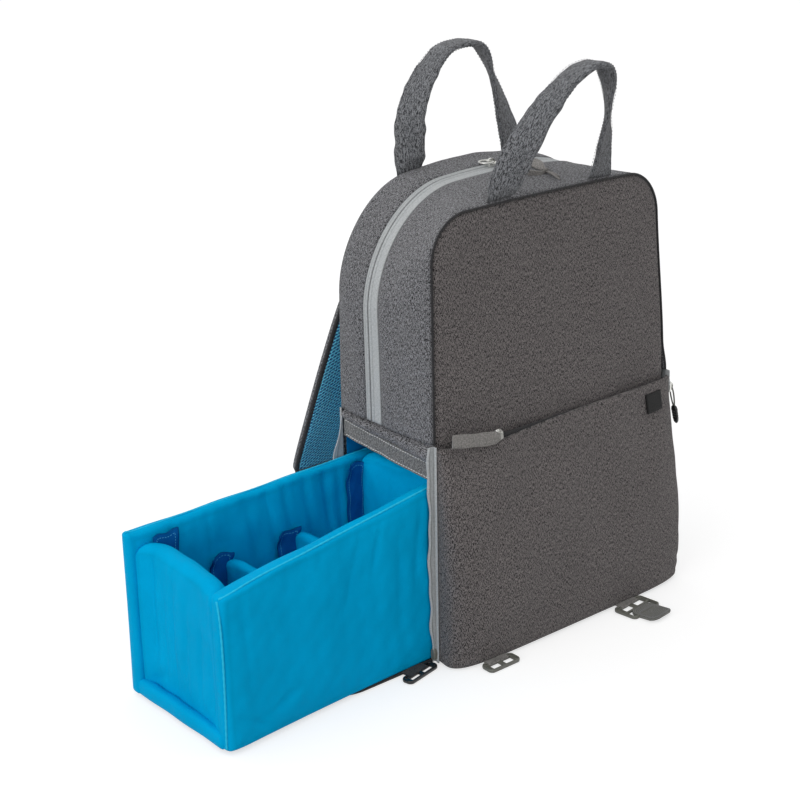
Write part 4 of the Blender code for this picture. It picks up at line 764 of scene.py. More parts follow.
FRONT_CLOTH = cloth_material("heather_front", rgb(12, 10, 11), rgb(137, 130, 129), 0.00055)
SIDE_CLOTH = cloth_material("heather_side", rgb(16, 16, 19), rgb(150, 150, 154), 0.00055)
HANDLE_CLOTH = cloth_material("heather_handle", rgb(44, 45, 48), rgb(144, 146, 150), 0.00055, flecks=4.2,
                              grains=((0.0006, 0.0044, 1.0), (0.0008, 0.0013, 0.7), (0.0030, 0.0060, 0.13)))
TRIM = cloth_material("dark_binding", rgb(22, 21, 23), rgb(56, 55, 57), 0.0005, gain=2.0, shade=0.06, flecks=0.8)
LINING = nylon_material("grey_lining", rgb(60, 62, 66), rgb(40, 42, 46), 0.5)
TAPE = rib_material("zip_tape", rgb(150, 154, 156), rgb(206, 209, 210), pitch=0.0011, zigzag=0.1, bump=0.00012)
BAND = rib_material("grey_webbing", rgb(66, 67, 67), rgb(150, 149, 147), zigzag=0.6, flecks=4.5)
TONGUE = rib_material("dark_webbing", rgb(78, 78, 76), rgb(136, 136, 131))
PULL_CLOTH = rib_material("pull_webbing", rgb(92, 90, 88), rgb(168, 164, 160), pitch=0.0012, flecks=1.6)
BLUE = nylon_material("blue_nylon", rgb(0, 176, 228), rgb(0, 158, 213))
# A lighter blue than the boards: a painted highlight along the insert's raised seams.
BLUE_SEAM_HIGHLIGHT = nylon_material("blue_piping_highlight", rgb(56, 202, 240), rgb(36, 190, 232), shade=0.04)
BLUE_LINING = nylon_material("blue_lining", rgb(0, 140, 204), rgb(0, 118, 182), 0.6)
NAVY = nylon_material("navy_strip", rgb(14, 104, 176), rgb(6, 80, 146), 0.6)
# The dark colour is the painted shade inside the mesh's holes.
MESH = mesh_material("blue_spacer_mesh", rgb(118, 226, 255), rgb(0, 78, 142))
NICKEL = hard_material("nickel", rgb(200, 200, 196), 0.28, 1.0, bump=0.00001, shade=0.05)
STEEL = hard_material("dull_steel", rgb(150, 150, 146), 0.45, 1.0, bump=0.00001, shade=0.05)
GREY_PLASTIC = hard_material("grey_plastic", rgb(98, 98, 91), 0.34)
BLACK_PLASTIC = hard_material("black_plastic", rgb(22, 22, 23), 0.26)
TAG_CLOTH = cloth_material(
    "woven_tag", rgb(3, 3, 3), rgb(14, 14, 14), 0.0004, gain=1.5, roughness=0.6, sheen=0.0, flecks=0.6
)
PALE_THREAD = thread_material("pale_thread", rgb(226, 226, 222))
GREY_THREAD = thread_material("grey_thread", rgb(136, 136, 139))
BLUE_THREAD = thread_material("blue_thread", rgb(60, 176, 214))


# ---------------------------------------------------------------- camera, light and floor

def place_camera():
    """The photograph's viewpoint: an orbit about a target, with a slight roll."""
    azimuth, elevation, roll = -0.682581858, 0.355858301, -0.0204358371
    target = Vector((-0.126503654, 0.0, 0.224985708))
    back = Vector((
        math.sin(azimuth) * math.cos(elevation), -math.cos(azimuth) * math.cos(elevation), math.sin(elevation)
    ))
    right = (-back).cross(Vector((0, 0, 1))).normalized()
    up = right.cross(-back)
    side = right * math.cos(roll) + up * math.sin(roll)
    top = up * math.cos(roll) - right * math.sin(roll)
    data = bpy.data.cameras.new("camera")
    data.lens = 76.527
    data.sensor_width = 36.0
    data.clip_start, data.clip_end = 0.05, 50.0
    cam = bpy.data.objects.new("camera", data)
    bpy.context.scene.collection.objects.link(cam)
    turned = Matrix((side, top, back)).transposed().to_4x4()
    cam.matrix_world = Matrix.Translation(target + back * 1.48791841) @ turned
    bpy.context.scene.camera = cam


def add_area(name, place, aim, size, power):
    """A square lamp that points at a place."""
    data = bpy.data.lights.new(name, "AREA")
    data.shape = "SQUARE"
    data.size = size
    data.energy = power
    lamp = bpy.data.objects.new(name, data)
    lamp.location = place
    lamp.rotation_euler = (Vector(aim) - Vector(place)).to_track_quat("-Z", "Y").to_euler()
    bpy.context.scene.collection.objects.link(lamp)


def seen_rays(tree):
    """1 for rays that show what is behind the object: camera, glossy and transmission rays."""
    path = put(tree, "ShaderNodeLightPath")
    both = maths(tree, "MAXIMUM", path.outputs["Is Camera Ray"], path.outputs["Is Glossy Ray"])
    return maths(tree, "MAXIMUM", both, path.outputs["Is Transmission Ray"])


def light_the_room():
    """Even sky, two lamps, and a pale floor whose own glow shows it white."""
    scene = bpy.context.scene
    world = bpy.data.worlds.new("studio")
    scene.world = world
    world.use_nodes = True
    tree = world.node_tree
    sky = tree.nodes["Background"]
    level = maths(tree, "MULTIPLY_ADD", seen_rays(tree), 1.0 - AMBIENT, AMBIENT)
    tree.links.new(level, sky.inputs["Strength"])
    sky.inputs["Color"].default_value = (1, 1, 1, 1)
    add_area("overhead", (-0.9, -0.1, 2.1), (-0.1, 0.0, 0.15), 2.2, OVERHEAD_POWER)
    add_area("left_fill", (-2.5, -0.6, 0.95), (-0.1, 0.0, 0.2), 1.8, FILL_POWER)
    scene.view_settings.view_transform = "Standard"

    floor = bpy.data.meshes.new("floor")
    floor.from_pydata([(-40, -40, 0), (40, -40, 0), (40, 40, 0), (-40, 40, 0)], [], [(0, 1, 2, 3)])
    made = bpy.data.materials.new("pale_floor")
    made.use_nodes = True
    tree = made.node_tree
    shader = tree.nodes["Principled BSDF"]
    shader.inputs["Base Color"].default_value = (0.5, 0.5, 0.5, 1)
    shader.inputs["Roughness"].default_value = 1.0
    shader.inputs["Specular IOR Level"].default_value = 0.0
    shader.inputs["Emission Color"].default_value = (1, 1, 1, 1)
    tree.links.new(maths(tree, "MULTIPLY", seen_rays(tree), FLOOR_GLOW), shader.inputs["Emission Strength"])
    floor.materials.append(made)
    obj = bpy.data.objects.new("floor", floor)
    obj.location.z = -0.0004
    scene.collection.objects.link(obj)


place_camera()
light_the_room()


# ---------------------------------------------------------------- the body's shell

def arch_grid(y_low, y_high, rows, columns, inset=0.0, foot=FOOT_Z):
    """Grid over the arch between two depths: rows by depth, columns round the outline."""
    grid = np.zeros((rows, columns, 3))
    for k, y in enumerate(np.linspace(y_low, y_high, rows)):
        line = arch(y, columns, inset, foot)
        grid[k, :, 0], grid[k, :, 2] = line[:, 0], line[:, 1]
        grid[k, :, 1] = leaning(y, line[:, 1])
    return grid


def arch_strip(name, y_low, y_high, rows, sink, thick, relief, seam, look, node):
    """A strip of the arch whose outer face is raised by `relief` along its own normal."""
    outer = arch_grid(y_low, y_high, rows, 300, sink)
    inner = arch_grid(y_low, y_high, rows, 300, sink + thick)
    out = grid_normals(outer)
    out = out * np.sign((out[:, 150, 2]).mean())
    points = outer + out * relief(outer)[..., None]
    shell(name, points, inner, look, "bag", node, uv=grid_uv(outer)[..., ::-1], seam=seam(outer))


def edge_reach(rows, width, rim):
    """Distance to the nearer long edge of a strip, as a share of `rim`, from 0 at the edge to 1."""
    d = np.linspace(0, width, rows)
    return np.clip(np.minimum(d, width - d) / rim, 0, 1)[:, None]


def gusset_relief(rows, width, seed):
    """A gusset's face: a low swell between its seams with soft waves, which die out at the edges."""
    def relief(grid):
        rim = edge_reach(rows, width, 0.006)
        swell = 0.0011 * np.sin(PI * np.linspace(0, 1, rows))[:, None] ** 0.6
        soft = ripple(grid * (1.0, 1.3, 0.7), 0.055, 0.0009, seed) + ripple(grid, 0.022, 0.0003, seed + 1)
        lean = smoothstep((grid[..., 2] - FOOT_Z) / 0.02)
        return swell + soft * rim * (0.35 + 0.65 * lean) - 0.0009 * (1 - rim) ** 2
    return relief


def gusset_seam(rows, width):
    """The painted seam shade of a gusset: 1 on its long edges, 0 from 4.5 mm inside them."""
    def seam(grid):
        rim = edge_reach(rows, width, 0.0045)
        return np.repeat((1 - rim) ** 2, grid.shape[1], axis=1)
    return seam


def make_gussets():
    """The arched strips on either side of the main zip."""
    for label, low, high, rows, seed in (
        ("front", FRONT_SEAM_Y + 0.0009, TAPE_FRONT_Y - 0.0003, 34, 3),
        ("rear", TAPE_REAR_Y + 0.0003, REAR_SEAM_Y, 26, 9),
    ):
        arch_strip("gusset_" + label, low, high, rows, 0.0, 0.003, gusset_relief(rows, high - low, seed),
                   gusset_seam(rows, high - low), SIDE_CLOTH, label + "_gusset")


def make_main_zip():
    """Two woven tapes over a hidden coil: a low ridge beside the slit, a groove where it is sewn."""
    for name, low, high, slit in (
        ("main_tape_front", TAPE_FRONT_Y, COIL_Y - 0.00015, 1),
        ("main_tape_rear", COIL_Y + 0.00015, TAPE_REAR_Y, -1),
    ):
        rows = 30
        y = np.linspace(low, high, rows)
        d = (high - y) if slit > 0 else (y - low)
        profile = 0.0007 * bell((d - 0.0020) / 0.0011) - 0.0007 * bell(d / 0.0006)
        profile = profile - 0.00035 * bell((d - 0.0042) / 0.0004)
        # Painted shade in the slit between the tapes, in the sewn groove and along the far edge.
        shade_mask = bell(d / 0.0007) + 0.35 * bell((d - 0.0042) / 0.0005)
        far = (y - low) if slit > 0 else (high - y)
        shade_mask = np.clip(shade_mask + 0.45 * bell(far / 0.0009), 0, 1)
        arch_strip(name, low, high, rows, 0.0005, 0.0015, lambda g: profile[:, None] + 0 * g[..., 0],
                   lambda g: np.repeat(shade_mask[:, None], g.shape[1], axis=1), TAPE,
                   name.replace("main_tape", "main_zip_tape"))


def make_piping():
    """A round cord in the front seam, following the arch half its thickness in."""
    line = arch(FRONT_SEAM_Y, 320, 0.0013)
    path = np.stack([line[:, 0], leaning(FRONT_SEAM_Y, line[:, 1]) + 0.0002, line[:, 1]], axis=1)
    tube("piping", round_loops(path, 0.0010, 12, (0, 1, 0)), TRIM, "bag", "front_piping")


def panel(name, outline, face_y, back_y, swell, look, node, seed=5, side=-1.0, rough=0.0009):
    """A sewn panel: it swells by `swell` in its middle and turns down to its seam at the rim."""
    rings, share = panel_rings(outline)
    size = np.linalg.norm(outline - outline.mean(axis=0), axis=1).mean()
    d = (1 - share) * size
    rise = swell * (1 - share**2) - 0.0022 * np.exp(-d / 0.0022)
    x, z = rings[..., 0], rings[..., 1]
    flat = np.stack([x, 0 * x, z], axis=-1)
    soft = ripple(flat * (1, 1, 0.7), 0.07, rough, seed) + ripple(flat, 0.025, rough * 0.3, seed + 1)
    soft = soft * np.clip(d / 0.012, 0, 1)[:, None]
    outer = np.stack([x, face_y(z) + side * (rise[:, None] + soft), z], axis=-1)
    inner = np.stack([x, back_y(z), z], axis=-1)
    # Painted shade where the panel turns down into its seam.
    seam = np.repeat(bell(d / 0.003)[:, None], rings.shape[1], axis=1)
    plate(name, outer, inner, look, node, seam=np.concatenate([seam.ravel()] * 2))


def body_outline(y, inset, foot, columns=240):
    """The body's outline at one depth: the arch and a straight foot."""
    line = arch(y, columns, inset, foot)
    base = np.linspace(line[-1], line[0], 60)[1:-1]
    return np.concatenate([line, base])


def make_panels():
    """The front panel, which swells a little, and the flat back panel."""
    panel("front_face", body_outline(FRONT_SEAM_Y, 0.0021, 0.0033),
          lambda z: leaning(FRONT_SEAM_Y + PIPING_R, z) - 0.003, lambda z: leaning(FRONT_SEAM_Y + PIPING_R, z),
          0.0045, FRONT_CLOTH, "front_panel")
    panel("back_face", body_outline(REAR_SEAM_Y, 0.0015, 0.0),
          lambda z: z * 0 + REAR_SEAM_Y + 0.0031, lambda z: z * 0 + REAR_SEAM_Y + 0.0003,
          0.0002, SIDE_CLOTH, "back_panel", seed=21, side=1.0, rough=0.0003)


def pillow(name, low, high, face, depth, look, node):
    """A sewn-down cushion: its height falls to the rim as the quarter of a soft ellipse."""
    half = (np.array(high) - np.array(low)) / 2
    mid = (np.array(high) + np.array(low)) / 2
    rim = half * signed_power(np.stack(circle(160), axis=1), 2 / 7.0)
    rings, share = panel_rings(mid + rim, 30)
    x, z = rings[..., 0], rings[..., 1]
    d = (1 - share) * min(half)
    rise = depth * np.clip(1 - (1 - np.clip(d / 0.014, 0, 1)) ** 2.2, 0, 1) ** 0.55
    channel = sum(bell((z - at) / 0.0035) for at in np.linspace(low[1] + 0.06, high[1] - 0.06, 4))
    outer = np.stack([x, face + rise[:, None] * (1 - 0.35 * channel), z], axis=-1)
    inner = np.stack([x, np.full_like(x, face), z], axis=-1)
    plate(name, outer, inner, look, node)


def make_back():
    """The back's two cushions, the plain boards inside, and the base cloth."""
    for side, label in ((-1, "left"), (1, "right")):
        xs = sorted((side * 0.016, side * 0.114))
        pillow("back_cushion_" + label, (xs[0], 0.045), (xs[1], 0.335), 0.0656, 0.0118, MESH, "back_pad_" + label)
    repaint(TRIM, "back_board")
    repaint(LINING, "inner_shelf")
    wide = 0.1432
    wall = np.clip(pocket_section(0.0, 0.0033, 150), (-wide, -1), (wide, 1))
    rear = np.linspace((wide, REAR_SEAM_Y), (-wide, REAR_SEAM_Y), 40)
    rim = np.concatenate([wall, [(wide, -0.03), (wide, 0.03)], rear, [(-wide, 0.03), (-wide, -0.03)]])
    rings, _ = panel_rings(rim, 16)
    top, foot = (np.dstack([rings, np.full(rings.shape[:2], z)]) for z in (0.0010, 0.0))
    plate("base_cloth", top, foot, SIDE_CLOTH, "base_panel", flat_axes=(0, 1), smooth_deg=50)


def repaint(look, *names):
    """Gives pieces of the CAD model a new look."""
    for name in names:
        materials = frame["nodes"][name].data.materials
        materials.clear()
        materials.append(look)


make_gussets()
make_main_zip()
make_piping()
make_panels()
make_back()


# ---------------------------------------------------------------- front pocket

def pocket_grid(inset, rows, columns, z_low=0.0, z_high=POCKET_TOP_Z):
    """The pocket's wall: a plan section at each height."""
    grid = np.zeros((rows, columns, 3))
    for k, z in enumerate(np.linspace(z_low, z_high, rows)):
        line = pocket_section(z / POCKET_TOP_Z, inset, columns)
        grid[k, :, 0], grid[k, :, 1], grid[k, :, 2] = line[:, 0], line[:, 1], z
    return grid


def make_pocket():
    """The pocket's cloth: soft waves, a rolled mouth, a rounded foot and pulled lower corners."""
    rows, columns = 110, 260
    outer = pocket_grid(0.0, rows, columns)
    inner = pocket_grid(0.003, rows, columns)
    out = -grid_normals(outer)
    out *= np.sign(-out[rows // 2, columns // 2, 1])
    z = outer[..., 2]
    x = outer[..., 0]
    side = np.linspace(0, 1, columns)[None] + 0 * z
    free = smoothstep(z / 0.012) * smoothstep(side / 0.03) * smoothstep((1 - side) / 0.03)
    soft = ripple(outer * (1, 1, 0.6), 0.075, 0.0013, 31) + ripple(outer, 0.024, 0.00035, 32)
    pull = 0.0
    for sign, at in ((-1, -0.128), (1, 0.126)):
        for k, slope in enumerate((0.5, 0.95, 1.6)):
            along = (x - at) * sign
            line = z - 0.006 - slope * (0.02 + 0.012 * k - along)
            pull = pull - 0.0009 * bell(line / 0.004) * bell((z - 0.02) / 0.022) * (along > -0.05)
    mouth = (POCKET_TOP_Z - z) / 0.0022
    roll = -0.0016 * np.clip(1 - mouth, 0, 1) ** 2 + 0.0007 * bell((POCKET_TOP_Z - z - 0.004) / 0.003)
    foot = -0.0028 * np.clip(1 - z / 0.005, 0, 1) ** 2
    points = outer + out * (soft * free * 0.9 + pull * free + roll + foot)[..., None]
    sag = bend_through(x, (-0.15, -0.135, -0.085, -0.05, 0.0, 0.15), (0.002, 0.0015, -0.004, -0.0022, 0, 0))
    for grid in (points, inner):
        grid[..., 2] += sag * smoothstep((z / POCKET_TOP_Z - 0.8) / 0.2)
    # Painted shade along the side seams, along the foot and at the mouth's edge.
    seam = bell(side / 0.006) + bell((1 - side) / 0.006) + 0.8 * bell(z / 0.004)
    seam = seam + 0.5 * bell((POCKET_TOP_Z - z) / 0.0015)
    shell("pocket_cloth", points, inner, FRONT_CLOTH, "bag", "pocket_panel",
          uv=np.stack([grid_uv(outer)[..., 0], z], axis=-1), seam=np.clip(seam, 0, 1))
    zip_x = np.linspace(-0.12, 0.12, 90)
    wall = pocket_section(1.0, 0.003, 200)
    y = np.interp(zip_x, wall[:, 0], wall[:, 1]) + 0.0006
    outer, inner = (
        np.array([np.stack([zip_x, y + lift, np.full(90, h)], axis=1) for h in np.linspace(0.193, 0.203, 5)])
        for lift in (0.0, 0.001)
    )
    shell("pocket_tape", outer, inner, TRIM, "bag", "pocket_zip_tape")


def make_tag():
    """The bare sewn tag on the pocket's edge, raised a little inside its rim."""
    mid, half, top, high = 0.1102, 0.0114, 0.1955, 0.0178
    cols = np.linspace(mid - half, mid + half, 40)
    levels = np.linspace(top - high, top, 28)
    walls = [pocket_section(h / POCKET_TOP_Z, 0.0, 400) for h in levels]
    y = np.array([np.interp(cols, wall[:, 0], wall[:, 1]) for wall in walls])
    x, z = np.meshgrid(cols, levels)
    rim = np.minimum(np.minimum(x - cols[0], cols[-1] - x), np.minimum(z - levels[0], levels[-1] - z))
    edge = 0.0006 * np.clip(1 - rim / 0.0012, 0, 1) ** 2 - 0.0002 * bell((rim - 0.0022) / 0.0006)
    outer = np.stack([x, y - 0.0015 + edge, z], axis=-1)
    inner = np.stack([x, y - 0.0003, z], axis=-1)
    # Painted shade round the tag's rim.
    shell("side_tag", outer, inner, TAG_CLOTH, "bag", "label_tag", seam=bell(rim / 0.0007))


# ---------------------------------------------------------------- left side opening

def side_sheet(name, y_ends, low, high, thick, rows, columns, relief, seam, look, node, side=-1.0):
    """A sewn strip on the side: its edges run straight from the front to the back, raised by `relief`."""
    u, v = np.meshgrid(np.linspace(0, 1, columns), np.linspace(0, 1, rows))
    y, lower, upper = (ends[0] + (ends[1] - ends[0]) * u for ends in (y_ends, low, high))
    z = lower + (upper - lower) * v
    outer = np.stack([side * (HALF_WIDTH + relief(u, v, y, z)), y, z], axis=-1)
    inner = np.stack([np.full_like(y, side * (HALF_WIDTH - thick)), y, z], axis=-1)
    shell(name, outer, inner, look, "bag", node, uv=np.stack([z, y], axis=-1), seam=seam(u, v))


def side_ripple(y, z, size, amount, seed):
    """Gentle waves over a piece that lies flat on the bag's side."""
    return ripple(np.stack([0 * y, y, z], axis=-1), size, amount, seed)


def tape_relief(u, v, y, z):
    """A zip tape's face: a coil ridge along its free edge and a sewn groove, soft at both edges."""
    ridge = 0.0009 * bell((u - 0.80) / 0.14)
    groove = -0.0004 * bell((u - 0.48) / 0.05)
    edge = -0.0009 * (np.exp(-(u / 0.05)) + np.exp(-((1 - u) / 0.05)))
    return 0.0006 + ridge + groove + edge + 0.00035 * np.sin(z * TAU / 0.047 + 1.0) * np.sin(z * TAU / 0.031)


def make_left_side():
    """The undone zip's two tapes, the band with its two rows of stitches, the rolled rain flap and the lining."""
    open_tape("left_tape_front", -1, "left_zip_tape_front", -0.0712, -0.0674,
              lambda z: 0.0062 - 0.0042 * smoothstep((0.040 - z) / 0.03), 0.4)
    open_tape("left_tape_rear", -1, "left_zip_tape_rear", 0.0618, 0.0592,
              lambda z: 0.0010 + 0.0095 * smoothstep((0.200 - z) / 0.045), 2.0)

    def band_relief(u, v, y, z):
        hem = 0.0006 * (bell((v - 0.05) / 0.05) + bell((v - 0.95) / 0.05))
        sewn = -0.0004 * (bell((v - 0.12) / 0.03) + bell((v - 0.86) / 0.03))
        wave = side_ripple(y, z * 0.3, 0.03, 0.0007, 41)
        return 0.0010 + hem + sewn + wave - 0.0008 * np.exp(-(v / 0.02)) + 0.0012 * np.sin(PI * u) * v

    ends = (SIDE_FRONT_Y, SIDE_REAR_Y)
    low, high = (0.1722, 0.1800), (0.1908, 0.1984)
    # Painted shade along the band's lower and upper edges, under the rolled flap.
    side_sheet("left_band", ends, low, high, 0.001, 44, 170, band_relief,
               lambda u, v: 0.6 * np.exp(-(v / 0.03)) + 0.6 * np.exp(-((1 - v) / 0.05)), BAND, "left_top_band")
    run = np.linspace(0.015, 0.985, 160)
    y, lower, upper = (pair[0] + (pair[1] - pair[0]) * run for pair in (ends, low, high))
    lines = []
    for share in (0.12, 0.86):
        z = lower * (1 - share) + upper * share
        x = -(HALF_WIDTH + band_relief(run, np.full_like(run, share), y, z)) - 0.0002
        lines.append(np.stack([x, y, z], axis=1))
    stitches("band_stitches", lines, [np.tile((-1.0, 0, 0), (160, 1))] * 2, PALE_THREAD, wide=1.1 * MM, lift=0.3 * MM)

    def flap_relief(u, v, y, z):
        roll = 0.0058 * np.sqrt(np.clip(1 - ((v - 0.32) / 0.42) ** 2, 0, 1)) * (0.75 + 0.25 * np.sin(u * 9 + 1))
        wave = side_ripple(y, z * 0.4, 0.03, 0.0010, 44) + side_ripple(y, z, 0.012, 0.0004, 45)
        return roll - 0.0012 * np.exp(-((1 - v) / 0.12)) + wave * smoothstep(v / 0.2) * smoothstep((1 - v) / 0.2)

    # Painted shade on the roll's underside and in the fold near its top.
    side_sheet("left_hem_roll", ends, (0.1905, 0.1982), (TAPE_TOP_Z, TAPE_TOP_Z), 0.0025, 34, 170, flap_relief,
               lambda u, v: np.exp(-(v / 0.12)) + 0.8 * bell((v - 0.86) / 0.1), SIDE_CLOTH, "left_rain_flap")
    make_lining()


def open_tape(name, side, node, sewn, mouth, rise, seed):
    """The undone half of a side zip: sewn flat beside the opening, its coil edge turned outward in slow waves.

    The profile runs in plan from `sewn` to `mouth`, then out from the side by rise(z).
    """
    rows, columns = 260, 34
    z = np.linspace(0.0012, TAPE_TOP_Z, rows)
    s = np.linspace(0, 1, columns)[None]
    wave = (0.0008 * np.sin(z * TAU / 0.083 + seed) + 0.0005 * np.sin(z * TAU / 0.031))[:, None]
    flat = np.clip(s / 0.5, 0, 1)
    free = np.clip((s - 0.5) / 0.5, 0, 1)
    foot = smoothstep((0.012 - z) / 0.012)[:, None]
    y = sewn + (mouth - sewn) * flat + 0.25 * wave * free + 0 * z[:, None]
    out = 0.0012 + 0.0004 * np.sin(PI * flat) + free * (rise(z)[:, None] + wave) + 0.0008 * foot * s
    ridge = 0.0008 * bell((s - 0.90) / 0.06) - 0.0005 * bell((s - 0.46) / 0.03)
    teeth = 0.0005 * bell((s - 0.96) / 0.04) * np.sin(z * TAU / 0.0024)[:, None]
    grid = np.stack([side * (HALF_WIDTH + out), y + 0 * out, z[:, None] + 0.002 * foot * s], axis=-1)
    normal = grid_normals(grid)
    normal *= np.sign((normal[..., 0] * side).mean())
    outer = grid + normal * (ridge + teeth + 0 * out)[..., None]
    inner = grid - normal * 0.0009
    u = np.cumsum(np.linalg.norm(np.diff(grid[rows // 2], axis=0, prepend=grid[rows // 2][:1]), axis=1))
    uv = np.stack([np.repeat(u[None], rows, 0), np.repeat(z[:, None], columns, 1)], axis=-1)
    # Painted shade in the sewn groove and at the foot of the coil ridge.
    shade_mask = 0.7 * bell((s - 0.46) / 0.03) + 0.6 * bell((s - 0.80) / 0.03) + 0 * out
    shell(name, outer, inner, TAPE, "bag", node, uv=uv, seam=shade_mask)


def make_lining():
    """Blue lining of the camera compartment: a rounded oblong tube from the left opening to the right."""
    turn = np.linspace(0, TAU, 120, endpoint=False)
    c, s = np.cos(turn), np.sin(turn)
    y = -0.0027 + 0.0609 * signed_power(c, 2 / 24.0)
    rise = 0.0911 * signed_power(s, 2 / 24.0)
    middle_z = 0.0925
    outer = np.stack([y, middle_z + rise], axis=1)
    inner = np.stack([y * 0.9944, middle_z + rise * 0.998], axis=1)
    loops = [
        np.column_stack([np.full(120, x), ring])
        for x, ring in ((-0.1425, outer), (0.1405, outer), (0.1405, inner), (-0.1425, inner))
    ]
    tube("compartment_lining", np.array(loops), BLUE_LINING, closed=True, smooth_deg=50)


def make_door_flap():
    """The left door, unzipped and laid on the ground under the insert: a thin bound sheet with a cut corner."""
    x0, x1, y0, y1 = -0.3365, -0.1435, SIDE_FRONT_Y, SIDE_REAR_Y
    u, v = np.meshgrid(np.linspace(0, 1, 120), np.linspace(0, 1, 80))
    x, y = x0 + (x1 - x0) * u, y0 + (y1 - y0) * v
    y = y + 0.020 * smoothstep((-0.225 - x) / 0.06) * (1 - v)
    rim = rim_distance(u, v, x1 - x0, y1 - y0)
    top = 0.0025 - 0.0009 * np.clip(1 - rim / 0.0015, 0, 1) ** 2 + 0.0004 * bell((rim - 0.004) / 0.002)
    outer, inner, edge = (np.stack([x, y, z], axis=-1) for z in (top, np.full_like(x, 0.0001), np.full_like(x, 0.0017)))
    # Painted shade round the sheet's rim, by its binding.
    obj = shell("laid_door", outer, inner, LINING, "bag", "left_door_flap", seam=bell(rim / 0.003))
    dense = np.concatenate([edge[0, ::-1], edge[1:-1, 0], edge[-1]])
    tube("laid_door_binding", round_loops(even_steps(dense, 260), 0.0015, 8), TRIM)


# ---------------------------------------------------------------- right side

def make_right_side():
    """The closed side: zip tapes on three edges and the door's cloth, swollen inside its rim."""
    upright = ((0.0005, 0.0005), (0.1893, 0.1893), 0.0005, 200, 24)
    level = ((0.1893, 0.1893), (TAPE_TOP_Z, TAPE_TOP_Z), 0.0005, 24, 200)
    for label, ends, size, relief in (
        ("front", (-0.0700, -0.0635), upright, tape_relief),
        ("rear", (SIDE_REAR_Y, 0.0620), upright, lambda u, v, y, z: tape_relief(1 - u, v, y, z)),
        ("top", (-0.0700, 0.0620), level, lambda u, v, y, z: tape_relief(1 - v, u, y, z)),
    ):
        side_sheet("right_tape_" + label, ends, *size, relief, lambda u, v: 0 * u, TAPE, "right_zip_surround", side=1.0)

    u, v = np.meshgrid(np.linspace(0, 1, 110), np.linspace(0, 1, 160))
    y, z = -0.0632 + 0.1199 * u, 0.001 + 0.188 * v
    rim = rim_distance(u, v, 0.12, 0.188)
    swell = 0.0018 * smoothstep(rim / 0.02) - 0.001 * np.exp(-(rim / 0.0015))
    swell = swell + side_ripple(y, z, 0.05, 0.0008, 51) * smoothstep(rim / 0.015)
    outer = np.stack([HALF_WIDTH + 0.0015 + swell, y, z], axis=-1)
    inner = np.stack([np.full_like(y, HALF_WIDTH - 0.0015), y, z], axis=-1)
    # Painted shade round the door's rim, where it dips to its zip.
    shell("right_door_cloth", outer, inner, SIDE_CLOTH, "right_door", "right_door", seam=bell(rim / 0.004))


make_pocket()
make_tag()
make_left_side()
make_door_flap()
make_right_side()


# ---------------------------------------------------------------- handles, straps and webbing

def handle_line(route, lean_deg, seat, steps=120):
    """A handle's centre line with its width and width direction, as the CAD model lays it."""
    lean = math.radians(lean_deg)
    up = np.array((0.0, math.sin(lean), math.cos(lean)))
    flat = np.array(route)
    path = smooth_path(np.array(seat) + flat[:, :1] * np.array((1.0, 0, 0)) + flat[:, 1:] * up, steps)
    tangent = unit(np.gradient(path, axis=0))
    inward = np.cross(tangent, np.cross(up, (1.0, 0.0, 0.0)))
    run = np.linspace(0, 1, steps + 1)
    power = np.where(run < 0.5, 0.7, 1.5)
    rise = np.clip(2.3 * np.minimum(run, 1 - run), 0, 1) ** power
    foot = smoothstep(np.minimum(run, 1 - run) / 0.045)
    turn = np.radians((12 + 78 * rise) * foot)[:, None]
    across = np.cos(turn) * inward + np.sin(turn) * np.array((0.0, 1.0, 0.0))
    return path, across, 0.0295 - 0.004 * rise, run


